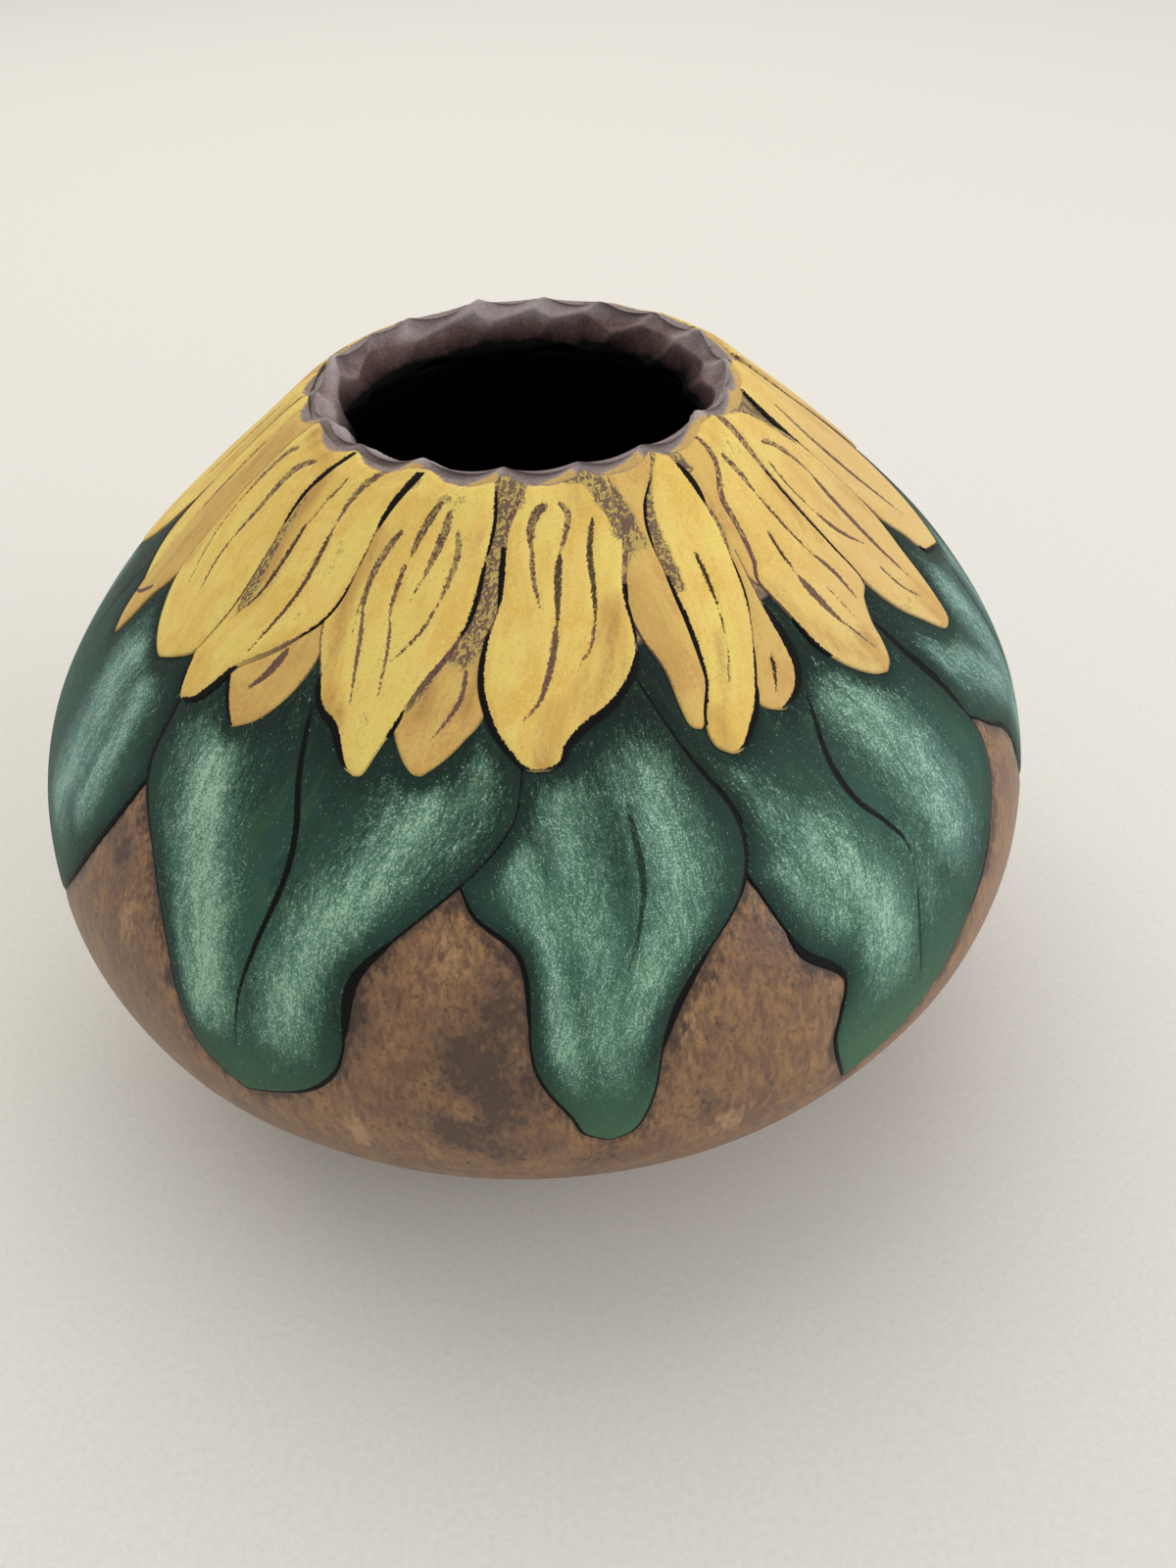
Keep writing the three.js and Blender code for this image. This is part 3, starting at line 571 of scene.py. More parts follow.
leaves = {
    "02": {
        "left": [(-50, 26), (-49.6, 44), (-48.8, 53), (-43, 63), (-39, 72), (-36.6, 82), (-34.6, 88.5),
                 (-30, 94)],
        "right": [(-1, 26), (-0.6, 42), (-3, 50), (-12, 61), (-17.6, 69), (-18.2, 80), (-20, 85.5), (-23.6, 90),
                  (-30, 94)],
        "strokes": [([(-29, 34), (-27.4, 44), (-25.8, 51), (-25.8, 58), (-27.8, 68), (-29.2, 76), (-29.8, 85)],
                     0.95, 1.0)],
        "ink": [("left", 28, 60, 0.5, 1.0), ("right", 63, 78, 1.2, 1.0), ("right", 82, 91, 0.4, 1.0)],
        "glow": [([(-40, 48), (-37.5, 56), (-34.8, 64), (-33.6, 80)], 5.6, 1.2),
                 ([(-12, 46), (-15, 53), (-19, 60), (-22.6, 68), (-24.2, 80)], 5.0, 1.0),
                 ([(-5, 40), (-8, 50)], 5.6, 0.45), ([(-44, 46), (-41, 58)], 6.2, 0.4)],
    },
    "03": {
        "left": [(-4, 26), (-8, 45), (-6, 57.5), (-0.6, 65), (-0.1, 80), (3, 90), (4, 94), (6.3, 96.4)],
        "right": [(14, 26), (19.5, 42), (23, 52), (21.5, 61), (15, 70), (12, 77), (10.4, 88), (8.6, 94.6),
                  (6.3, 96.4)],
        "strokes": [([(11.3, 46), (11.7, 56), (10.5, 63), (9, 68)], 0.9, 0.75)],
        "ink": [("left", 57, 74, 0.4, 1.0), ("left", 80, 95, 0.2, 1.0), ("right", 40, 62, 0.5, 1.0),
                ("right", 67, 80, 0.8, 1.0)],
        "glow": [([(-1, 52), (1.4, 62), (2.2, 74), (3, 84)], 3.2, 1.0),
                 ([(4, 46), (5.4, 60), (7, 72), (6.4, 84)], 5.0, 0.75),
                 ([(13.6, 44), (15.6, 55), (13, 66), (9, 75)], 5.2, 0.9)],
    },
    "04": {
        "left": [(14, 26), (18, 42), (21, 52), (23.2, 61), (26.5, 71.5), (31, 79), (30, 91), (32.5, 103)],
        "right": [(54, 26), (56, 42), (59.5, 55), (61, 66), (56, 77), (47, 90), (40, 99.5), (32.5, 103)],
        "strokes": [([(37.8, 40), (36.4, 49), (37.5, 56), (40, 61), (42, 66), (42, 72)], 0.95, 1.0),
                    ([(42, 72), (41.2, 80), (41.2, 90)], 0.6, 0.7)],
        "ink": [("left", 50, 62, 0.3, 1.0), ("left", 69, 80, 1.1, 1.0), ("left", 79, 104, 0.3, 1.0),
                ("right", 38, 60, 1.2, 1.0), ("right", 76, 86, 0.6, 1.0)],
        "glow": [([(31, 59), (34, 65), (36.4, 72), (37, 84)], 5.2, 1.1), ([(24, 47), (28, 55)], 4.5, 0.6),
                 ([(27, 60), (31.5, 70)], 3.8, 0.7), ([(43, 66), (44, 80)], 3.8, 0.4),
                 ([(44, 43), (46.5, 52), (48.8, 61), (49.6, 69)], 6.2, 1.0)],
    },
    "05": {
        "left": [(50, 26), (54, 42), (58, 55), (63.5, 63.3), (69, 70), (72, 82), (83, 98)],
        "right": [(99, 26), (101, 44), (99, 56), (93, 68), (92, 82), (83, 98)],
        "strokes": [([(85, 49), (82, 60), (81, 74), (83, 88)], 0.8, 0.8)],
        "ink": [("left", 34, 62, 0.7, 1.0), ("left", 64, 73, 0.6, 1.0)],
        "glow": [([(61, 50), (68, 57), (74, 66)], 4.2, 0.8), ([(77, 48), (77.5, 60), (76.6, 74)], 5.8, 0.8),
                 ([(90, 48), (88, 62), (87, 78)], 5.0, 0.7)],
    },
    "01": {
        "left": [(-112, 26), (-112, 42), (-108, 54), (-99, 66), (-94, 80), (-80, 97)],
        "right": [(-44, 26), (-47, 44), (-48.8, 53), (-53, 65.5), (-59, 79), (-68, 91.5), (-80, 97)],
        "strokes": [([(-81.5, 36), (-82.4, 44), (-81.5, 52)], 0.8, 0.8)],
        "ink": [("right", 50, 84, 0.6, 1.0)],
        "glow": [([(-65, 44), (-64, 56), (-66, 70)], 6.6, 1.0), ([(-57.6, 46), (-57.6, 58), (-59, 66)], 3.6, 1.0),
                 ([(-97, 48), (-92, 62), (-84, 82)], 7.5, 0.8)],
    },
}
# The side that the photograph doesn't show repeats the drawn fields, turned by these degrees
petalRepeats = {
    "17": ("04", 171), "18": ("05", 171), "20": ("07", 171), "19": ("06", 171), "22": ("09", 171),
    "21": ("08", 171), "24": ("11", 172), "23": ("10", 172), "27": ("14", 172), "25": ("12", 172),
    "26": ("13", 172), "28": ("15", 172), "29": ("03", 323),
}
leafRepeats = {"06": ("04", 79), "07": ("03", 148), "08": ("02", 218), "09": ("04", 191)}

# How the relief stands on the skin (mm)
fieldShape = {
    "petalStep": 0.36,
    "leafStep": 0.6,
    "petalBorder": 0.2,  # burnt line outside the paint, where no ink is listed
    "leafBorder": 0.32,
    "petalBlack": 0.15,
    "leafBlack": 1.0,
    "leafBase": 0.08,
    "leafLevel": 0.03,
    "petalBase": 0.32,
    "petalLevel": 0.07,
    "pillow": 0.26,
    "pillowReach": 0.45,
    "strokeDepth": 0.12,
    "mouthFade": 4.0,  # the paint thins to the carved edge over this length
    "stained": 0.1,  # the rim's stain runs this far over the paint,
    "bared": 0.3,  # and shows where the lip's scoops cut deeper than this
    "under": 0.5,  # how far a field is let into the skin
    "overlap": 0.5,
    "bottomColumns": 6,
    "strokeSpread": 0.25,
    "mouthLevel": 0.2,  # share of the relief left at the carved edge
    "farStroke": 9.0,  # where no stroke is near
    "brushShift": 7.3,  # sets the brush strokes of one field apart from the next
}


def smoothLine(points):
    knots = np.array(points, float)
    knots = np.concatenate([knots[:1], knots, knots[-1:]])
    t = np.linspace(0, 1, 16, endpoint=False)[:, None]
    spans = []
    for a, b, c, d in zip(knots[:-3], knots[1:-2], knots[2:-1], knots[3:]):
        out, into = (c - a) / 2, (d - b) / 2
        square = (3 * (c - b) - 2 * out - into) * t ** 2
        cube = (2 * (b - c) + out + into) * t ** 3
        spans.append(b + out * t + square + cube)
    return np.concatenate(spans + [knots[-1:]])


def evenOnSkin(line, count):
    lengths = lengthsOf(onSkin(line[:, 0], line[:, 1]))
    wanted = np.linspace(0, lengths[-1], count)
    return np.stack([np.interp(wanted, lengths, line[:, 0]), np.interp(wanted, lengths, line[:, 1])], 1)


def distanceToLine(places, line):  # in mm from points in space, and the share of the line passed there
    best, passed = np.full(len(places), 1e9), np.zeros(len(places))
    for number, (a, b) in enumerate(zip(line[:-1], line[1:])):
        span = b - a
        share = np.clip((places - a) @ span / max(span @ span, 1e-12), 0, 1)
        away = places - a - share[:, None] * span
        square = np.einsum("ij,ij->i", away, away)
        passed = np.where(square < best, (number + share) / (len(line) - 1), passed)
        best = np.minimum(best, square)
    return np.sqrt(best), passed


def insideOf(around, down, outline):
    turned = around + 360 * np.round((outline[:, 0].mean() - around) / 360)
    inside = np.zeros(len(around), bool)
    for (x0, y0), (x1, y1) in zip(outline, np.roll(outline, -1, axis=0)):
        if y0 == y1:
            continue
        crossed = (y0 > down) != (y1 > down)
        inside ^= crossed & (turned < (x1 - x0) * (down - y0) / (y1 - y0) + x0)
    return inside


def depthInside(around, down, outline):  # mm from the drawn edge, positive inside
    away = distanceToLine(onSkin(around, down), onSkin(outline[:, 0], outline[:, 1]))[0]
    return np.where(insideOf(around, down, outline), away, -away)


def inkOf(kind, drawn, sideName, down):  # width and blackness of an edge line
    width = np.full(len(down), fieldShape[kind + "Border"])
    black = np.full(len(down), fieldShape[kind + "Black"])
    for where, low, high, extra, dark in drawn.get("ink", []):
        if where == sideName:
            swell = np.sin(math.pi * np.clip((down - low) / (high - low), 0, 1))
            width += extra * swell ** 0.7
            black = np.maximum(black, dark * np.clip(4 * swell, 0, 1))
    return width, black


def grownOutline(outline, width):
    before, after = np.roll(outline, 1, axis=0), np.roll(outline, -1, axis=0)
    before[0], after[-1] = outline[0], outline[-1]
    across = skinRadius(outline[:, 1]) * degree
    run = (after - before) * np.stack([across, np.full(len(outline), sideScale)], 1)
    run /= np.linalg.norm(run, axis=1)[:, None]
    return outline + np.stack([-run[:, 1] / across, run[:, 0] / sideScale], 1) * width[:, None]


def layOut(kind, key, drawn, turn, step):
    edges = [smoothLine(np.array(drawn[part], float) + (turn, 0)) for part in ("left", "right")]
    longest = max(lengthsOf(onSkin(edge[:, 0], edge[:, 1]))[-1] for edge in edges)
    rows = int(longest / step)
    left, right = (evenOnSkin(edge, rows + 1) for edge in edges)
    outline = np.concatenate([left, right[-2::-1]])
    width = np.concatenate([inkOf(kind, drawn, "left", left[:, 1])[0],
                            inkOf(kind, drawn, "right", right[-2::-1, 1])[0]])
    grown = grownOutline(outline, width)
    grownLeft = grown[:rows + 1]
    grownRight = np.concatenate([grown[rows + 1:][::-1], grown[rows:rows + 1]])
    widest = np.linalg.norm(onSkin(*grownLeft.T) - onSkin(*grownRight.T), axis=1).max()
    blocks = fieldShape["bottomColumns"]
    columns = blocks * max(2, int(math.ceil(widest / step / blocks)))
    share = np.linspace(0, 1, columns + 1)
    flat = grownLeft[:, None, :] * (1 - share)[None, :, None] + grownRight[:, None, :] * share[None, :, None]
    around, down = flat[..., 0].ravel(), np.maximum(flat[..., 1].ravel(), 0.0)
    return {
        "kind": kind, "name": kind + "_" + key, "drawn": drawn, "turn": turn,
        "rows": rows, "columns": columns,
        "outline": outline[::2], "grown": grown[::2], "around": around, "down": down,
        "share": np.tile(share, rows + 1), "places": onSkin(around, down), "level": 0,
    }


def layOutAll():
    fields = []
    for kind, drawn, repeats in (("petal", petals, petalRepeats), ("leaf", leaves, leafRepeats)):
        turns = [(key, key, 0) for key in drawn] + [(key, of, turn) for key, (of, turn) in repeats.items()]
        for key, of, turn in turns:
            fields.append(layOut(kind, key, drawn[of], turn, fieldShape[kind + "Step"] * fineness))
    return fields


def nearEachOther(a, b):
    gap = np.maximum(a["places"].min(0) - b["places"].max(0), b["places"].min(0) - a["places"].max(0))
    return gap.max() < 1.5


# A field lies open where it is inside its own edge and clear of every field in front of it
def measureFields(fields):
    for number, field in enumerate(fields):
        field["edge"] = depthInside(field["around"], field["down"], field["outline"])
        field["open"] = field["edge"].copy()
        field["under"] = []
        for front in fields[:number]:
            if nearEachOther(field, front):
                hidden = depthInside(field["around"], field["down"], front["grown"])
                if hidden.max() > fieldShape["overlap"]:
                    field["under"].append(front)
                field["open"] = np.minimum(field["open"], -hidden)
    for field in reversed(fields):
        for front in field["under"]:
            front["level"] = max(front["level"], field["level"] + 1 if front["kind"] == field["kind"] else 0)


def drawnLine(field, points):
    line = evenOnSkin(smoothLine(np.array(points, float) + (field["turn"], 0)), 24)
    return distanceToLine(field["places"], onSkin(line[:, 0], line[:, 1]))


def strokesOf(field):  # mm from the nearest stroke's side, and that stroke's blackness
    nearest, black = np.full(len(field["around"]), fieldShape["farStroke"]), np.zeros(len(field["around"]))
    for points, width, dark in field["drawn"]["strokes"]:
        away, passed = drawnLine(field, points)
        away = away - 0.5 * width * np.sin(math.pi * passed ** 0.6) ** 0.6
        black = np.where(away < nearest, dark, black)
        nearest = np.minimum(nearest, away)
    return nearest, black


def brushedOf(field, patchName):
    strength = np.zeros(len(field["around"]))
    for points, reach, most in field["drawn"].get(patchName, []):
        away = drawnLine(field, points)[0]
        strength = np.maximum(strength, most * np.exp(-(away / reach) ** 2))
    return strength


def reliefOf(field, stroke):
    open_ = np.clip(field["open"], 0, None)
    base = fieldShape[field["kind"] + "Base"] + field["level"] * fieldShape[field["kind"] + "Level"]
    pillow = fieldShape["pillow"] * (1 - np.exp(-open_ / fieldShape["pillowReach"]))
    groove = fieldShape["strokeDepth"] * np.exp(-np.clip(stroke, 0, None) / fieldShape["strokeSpread"])
    least = fieldShape["mouthLevel"]
    fade = least + (1 - least) * np.clip(field["down"] / fieldShape["mouthFade"], 0, 1)
    return (base + pillow - groove * (open_ > 0)) * fade + mouthCut(field["around"], field["down"])


# Top sheet, side walls down to the underside, and a plainer underside with fewer columns
def makeField(field, number, path, start, material):
    rows, columns = field["rows"], field["columns"]
    stroke, strokeBlack = strokesOf(field)
    count = len(field["around"])
    top = np.stack([
        field["around"] * degree, field["down"] * sideScale * mm, reliefOf(field, stroke) * mm], 1)
    stride = columns // fieldShape["bottomColumns"]
    grid = np.arange(count).reshape(rows + 1, columns + 1)
    kept = grid[:, ::stride]
    low = top[kept.ravel()].copy()
    low[:, 2] = (mouthCut(field["around"], field["down"])[kept.ravel()] - fieldShape["under"]) * mm
    under = count + np.arange(kept.size).reshape(kept.shape)
    faces = gridFaces(rows, columns)
    for i in range(rows):
        for j in range(kept.shape[1] - 1):
            faces.append((under[i, j], under[i, j + 1], under[i + 1, j + 1], under[i + 1, j]))
        faces.append((grid[i, 0], under[i, 0], under[i + 1, 0], grid[i + 1, 0]))
        faces.append((grid[i + 1, -1], under[i + 1, -1], under[i, -1], grid[i, -1]))
    for j in range(kept.shape[1] - 1):
        upper = grid[0, j * stride:(j + 1) * stride + 1]
        faces.append([*upper.tolist(), under[0, j + 1], under[0, j]])
    every = np.concatenate([np.arange(count), kept.ravel()])
    places = field["places"].reshape(rows + 1, columns + 1, 3)
    wide = np.linalg.norm(places[:, 0] - places[:, -1], axis=1)
    across = ((field["share"].reshape(rows + 1, columns + 1) - 0.5) * wide[:, None]).ravel()
    brush = np.stack([across, field["down"], np.full(count, fieldShape["brushShift"] * number)], 1)
    blacks = [inkOf(field["kind"], field["drawn"], part, field["down"])[1] for part in ("left", "right")]
    layers = {
        "edge": field["edge"],
        "open": field["open"],
        "stroke": stroke,
        "strokeBlack": strokeBlack,
        "edgeBlack": np.where(field["share"] < 0.5, *blacks),
        "brush": brush,
        "down": field["down"],
        "stain": np.maximum(fieldShape["stained"] - field["down"],
                            -fieldShape["bared"] - mouthCut(field["around"], field["down"])),
    }
    for patchName in ("glow",) if field["kind"] == "leaf" else ("shade", "worn"):
        layers[patchName] = brushedOf(field, patchName)
    piece = newObject(field["name"].replace("_", ""), np.concatenate([top, low]), [], faces,
                      {name: values[every] for name, values in layers.items()})
    wrap(piece, path, start, gourdShape["uneven"], material)
    return piece


# Every finish has noise patterns, each (width, length in mm, detail, roughness, distortion), laid along the
# brush strokes of a painted field or upright on the object. The finest are drawn coarser than the real
# grain, or the photograph's frame wouldn't show them
def newMaterial(name, finish, attributes=(), brushed=False):
    material = bpy.data.materials.new(name)
    material.use_nodes = True
    tree = material.node_tree
    tree.nodes.clear()
    given = {}
    for each in attributes:
        given[each] = addNode(tree, "ShaderNodeAttribute", attribute_name=each).outputs["Fac"]
    if brushed:
        where = addNode(tree, "ShaderNodeAttribute", attribute_name="brush").outputs["Vector"]
    else:
        where = addNode(tree, "ShaderNodeTexCoord").outputs["Object"]
    noise = {}
    for each, (width, length, detail, rough, distortion) in finish["patterns"].items():
        scale = (1 / width, 1 / length, 1.0) if brushed else (1 / width / mm, 1 / width / mm, 1 / length / mm)
        sized = addNode(tree, "ShaderNodeMapping", {"Vector": where, "Scale": scale})
        noise[each] = addNode(tree, "ShaderNodeTexNoise", {
            "Vector": sized, "Scale": 1.0, "Detail": detail, "Roughness": rough, "Distortion": distortion})
    return material, tree, given, noise


# Each sum is a value loosened by others: a pattern, named here, counts from its middle
def addSums(tree, noise, sums):
    total = {}
    for name, (value, *others) in sums.items():
        for other, amount in others:
            if isinstance(other, str):
                other = addNode(tree, "ShaderNodeMath", {0: noise[other], 1: 0.5}, operation="SUBTRACT")
            value = addNode(tree, "ShaderNodeMath", {0: other, 1: amount, 2: value}, operation="MULTIPLY_ADD")
        total[name] = value
    return total


def addRanges(tree, ranges):  # each (value, low, high, result at low, result at high)
    return {name: addNode(tree, "ShaderNodeMapRange", dict(enumerate(row))) for name, row in ranges.items()}


# Each coat is (colour, share) or (colour, value, low, high, share at low, share at high), the lowest first
def layCoats(tree, colour, coats):
    for over, share, *limits in coats:
        if limits:
            share = addRanges(tree, {"share": (share, *limits)})["share"]
        colour = addNode(tree, "ShaderNodeMix", {0: share, 6: colour, 7: over}, data_type="RGBA").outputs[2]
    return colour


# The pattern given as uneven runs the roughness over its range
def finishSurface(tree, finish, colour, height, uneven=None):
    rough = finish["roughness"]
    if uneven:
        rough = addRanges(tree, {"rough": (uneven, 0.3, 0.7, *rough)})["rough"]
    bump = addNode(tree, "ShaderNodeBump", {
        "Height": height, "Distance": finish["grainDepth"] * mm, "Strength": 1.0})
    shader = addNode(tree, "ShaderNodeBsdfPrincipled", {
        "Base Color": colour, "Roughness": rough, "Normal": bump, "IOR": finish["ior"],
        "Specular IOR Level": finish["specular"]})
    addNode(tree, "ShaderNodeOutputMaterial", {"Surface": shader})


# Acrylic craft paint in thin coats over burnt drawing: matte, shaded from lemon to ochre and rubbed through
# to umber near the mouth, so the eye reads brushed, uneven yellow and hand-drawn lines
petalPaint = {
    "yellow": {"base": "#E0BB5E", "light": "#EDD076", "lemon": "#E2D068", "sheenPeach": "#D2AF7E",
               "shade": "#BC904E"},
    "ochre": {"base": "#CBA25C", "light": "#E0BC68", "lemon": "#C9AE62", "sheenPeach": "#C09B6A",
              "shade": "#AB8348"},
    "umber": "#6C5649",
    "olive": "#B9A25C",
    "purple": "#70504A",
    "black": "#0D0A0A",
    "leafDark": "#22322C",
    "stain": "#8E817D",
    "patterns": {"streaks": (1.6, 9.0, 3.0, 0.5, 0.3), "patches": (6.0, 9.0, 3.0, 0.5, 0.6),
                 "curls": (0.8, 1.1, 3.0, 0.5, 1.6), "speckle": (0.3, 0.4, 3.0, 0.5, 0.0)},
    "wiped": 18.0,  # mm down: lines nearer the mouth were wiped and are mottled
    "leavesFrom": (28.0, 34.0),  # mm down: the edges take the leaves' dark here
    "sheenFrom": (0.028, 0.05),  # m to the right, where a painted sheen pales the yellow toward peach
    "roughness": (0.52, 0.7),
    "specular": 0.12,
    "ior": 1.48,
    "grainDepth": 0.08,  # mm
}


def makePetalPaint(tone):
    mix = {**petalPaint, **petalPaint[tone]}
    material, tree, given, noise = newMaterial("acrylicPaint" + tone.capitalize(), petalPaint, (
        "edge", "edgeBlack", "stroke", "strokeBlack", "shade", "worn", "down", "stain"), brushed=True)
    total = addSums(tree, noise, {
        "lit": (noise["streaks"], ("patches", 1.3)),
        "deep": (given["shade"], ("streaks", 1.8), ("curls", 1.0)),
        "bare": (given["worn"], ("curls", 1.2), ("patches", 1.6), ("speckle", 0.5)),
        "drawn": (given["stroke"], ("speckle", 0.7), ("curls", 0.25)),
        "inked": (given["edgeBlack"], ("speckle", 1.4)),
        "ringed": (given["edge"], ("speckle", 0.6)),
        "spilled": (given["stain"], ("curls", 0.5), ("speckle", 0.4)),
    })
    share = addRanges(tree, {
        "curl": (noise["curls"], 0.5, 0.54),
        "speck": (noise["speckle"], 0.52, 0.6, 0.0, 0.55),
        "wiped": (given["down"], mix["wiped"] - 4, mix["wiped"] + 4, 0.85, 0.1),
        "brown": (given["strokeBlack"], 0.0, 1.0, 1.0, 0.0),
        "outside": (given["down"], *mix["leavesFrom"]),
        "ringed": (total["ringed"], -0.04, 0.08, 1.0, 0.0),
        "plain": (given["edgeBlack"], 0.05, 0.4, 0.85, 0.0),
    })
    mottled = addNode(tree, "ShaderNodeMath", {0: share["curl"], 1: share["wiped"]}, operation="MULTIPLY")
    browned = addNode(tree, "ShaderNodeMath", {0: mottled, 1: share["brown"]}, operation="MULTIPLY")
    unlined = addNode(tree, "ShaderNodeMath", {0: share["plain"], 1: share["outside"]}, operation="MULTIPLY")
    lined = addNode(tree, "ShaderNodeMath", {0: 1.0, 1: unlined}, operation="SUBTRACT")
    ring = addNode(tree, "ShaderNodeMath", {0: share["ringed"], 1: lined}, operation="MULTIPLY")
    rubbed = layCoats(tree, mix["umber"], [(mix["olive"], share["curl"])])
    line = layCoats(tree, mix["purple"], [
        (mix["black"], share["speck"]),
        (mix["black"], given["strokeBlack"]),
        (mix["olive"], browned),
    ])
    edge = layCoats(tree, mix["purple"], [
        (mix["olive"], mottled),
        (mix["leafDark"], share["outside"]),
        (mix["black"], total["inked"], 0.3, 0.7),
    ])
    spilled = layCoats(tree, mix["stain"], [
        (mix["umber"], total["lit"], 0.5, 0.62, 0.0, 0.35),
        (mix["umber"], share["speck"]),
    ])
    aside = addNode(tree, "ShaderNodeSeparateXYZ", {0: addNode(tree, "ShaderNodeTexCoord").outputs["Object"]})
    colour = layCoats(tree, mix["base"], [
        (mix["light"], total["lit"], 0.34, 0.72),
        (mix["lemon"], noise["patches"], 0.5, 0.62, 0.0, 0.5),
        (mix["light"], noise["curls"], 0.5, 0.6, 0.0, 0.5),
        # Painted sheen: the yellow pales toward peach on the gourd's right side
        (mix["sheenPeach"], aside, *mix["sheenFrom"], 0.0, 0.55),
        (mix["shade"], noise["speckle"], 0.45, 0.34, 0.0, 0.3),
        (mix["shade"], total["deep"], 0.2, 1.15, 0.0, 0.95),
        (rubbed, total["bare"], 0.4, 0.5, 0.0, 0.95),
        (line, total["drawn"], -0.08, 0.08, 0.95, 0.0),
        (edge, ring),
        (spilled, total["spilled"], -0.1, 0.1, 0.0, 0.96),
    ])
    relief = addNode(tree, "ShaderNodeMath", {0: noise["curls"], 1: 0.6, 2: noise["streaks"]},
                     operation="MULTIPLY_ADD")
    finishSurface(tree, petalPaint, colour, relief, noise["streaks"])
    return material


# The same paint in greens, dry-brushed with a pale mint that catches as a fine haze of flecks down the
# middle of each half leaf, so the leaf looks rounded and softly lit; its tip is left a plain, flat green
leafPaint = {
    "dark": "#182620",
    "green": "#325446",
    "moss": "#3C5A35",
    "tip": "#42664C",
    "mint": "#86BD9B",
    "reflectedBlue": "#90BEBC",
    "pale": "#CDE6CB",
    "burnt": "#0B0A0A",
    "patterns": {"streaks": (2.4, 9.0, 4.0, 0.5, 0.6), "strands": (0.45, 1.5, 3.0, 0.5, 0.7),
                 "flecks": (0.22, 0.32, 3.0, 0.5, 0.2), "clouds": (8.0, 11.0, 3.0, 0.5, 0.5)},
    "greenFrom": (34.0, 60.0),  # mm down: the dark under the petals gives way here
    "brushedTo": (78.0, 92.0),
    "tipFrom": (80.0, 94.0),
    "reflectedFrom": (0.045, 0.075),  # m to either side, where a painted bluish reflection turns the mint bluish
    "roughness": (0.47, 0.65),
    "specular": 0.12,
    "ior": 1.48,
    "grainDepth": 0.06,  # mm
}


def makeLeafPaint():
    material, tree, given, noise = newMaterial("acrylicPaintGreen", leafPaint, (
        "edge", "open", "stroke", "strokeBlack", "glow", "down"), brushed=True)
    limits = addRanges(tree, {
        "inner": (given["open"], 0.6, 3.2),
        "upper": (given["down"], *leafPaint["brushedTo"], 1.0, 0.0),
    })
    limits["uneven"] = addNode(tree, "ShaderNodeMapRange", {
        0: noise["streaks"], 1: 0.3, 2: 0.7, 3: 0.7, 4: 1.25}, clamp=False)
    glow = given["glow"]
    for limit in limits.values():
        glow = addNode(tree, "ShaderNodeMath", {0: glow, 1: limit}, operation="MULTIPLY")
    total = addSums(tree, noise, {
        "wash": (glow, ("strands", 0.9), ("clouds", 0.7), ("flecks", 1.1)),
        "flecked": (noise["flecks"], (glow, 0.23), ("strands", 0.5)),
        "folded": (given["stroke"], ("flecks", 0.3)),
        "burnt": (given["edge"], ("flecks", 0.4)),
    })
    folded = addRanges(tree, {"folded": (total["folded"], -0.1, 0.12, 1.0, 0.0)})["folded"]
    fold = addNode(tree, "ShaderNodeMath", {0: folded, 1: given["strokeBlack"]}, operation="MULTIPLY")
    aside = addNode(tree, "ShaderNodeSeparateXYZ", {0: addNode(tree, "ShaderNodeTexCoord").outputs["Object"]})
    aside = addNode(tree, "ShaderNodeMath", {0: aside}, operation="ABSOLUTE")
    # Painted reflection: the mint turns bluish toward both sides
    mint = layCoats(tree, leafPaint["mint"], [(leafPaint["reflectedBlue"], aside, *leafPaint["reflectedFrom"], 0.0, 0.9)])
    colour = layCoats(tree, leafPaint["dark"], [
        (leafPaint["green"], given["down"], *leafPaint["greenFrom"]),
        (leafPaint["moss"], noise["streaks"], 0.55, 0.7, 0.0, 0.45),
        (leafPaint["dark"], noise["clouds"], 0.5, 0.68, 0.0, 0.55),
        (leafPaint["dark"], given["open"], 0.2, 4.5, 0.65, 0.0),
        (leafPaint["tip"], given["down"], *leafPaint["tipFrom"], 0.0, 0.9),
        (mint, total["wash"], 0.15, 1.35, 0.0, 0.62),
        (leafPaint["pale"], total["flecked"], 0.68, 0.87, 0.0, 0.45),
        (leafPaint["burnt"], fold),
        (leafPaint["burnt"], total["burnt"], -0.06, 0.1, 1.0, 0.0),
    ])
    finishSurface(tree, leafPaint, colour, noise["strands"], noise["strands"])
    return material


# Dried hard-shell gourd, scrubbed, stained and waxed: a satin skin with mould blotches, cloudy upright
# streaks and fine pores, scorched beside the burnt lines, and with ochre ground paint between the petals
skinFinish = {
    "brown": "#785940",
    "warm": "#9C754A",
    "red": "#5E3E2F",
    "blotch": "#3E2F29",
    "ochre": "#B58F60",
    "scorch": "#241A17",
    "ground": "#6A563E",
    "yellow": "#B99A5E",
    "black": "#0B0A0C",
    "patterns": {"streaks": (3.0, 12.0, 4.0, 0.62, 0.5), "fibres": (0.8, 3.0, 4.0, 0.62, 0.3),
                 "clouds": (4.5, 6.5, 5.0, 0.62, 0.4), "patches": (13.0, 13.0, 4.0, 0.62, 0.4),
                 "specks": (1.1, 1.6, 4.0, 0.62, 0.2), "pores": (0.5, 0.5, 3.0, 0.62, 0.0)},
    "roughness": (0.37, 0.52),
    "specular": 0.5,
    "ior": 1.45,
    "grainDepth": 0.06,  # mm
}
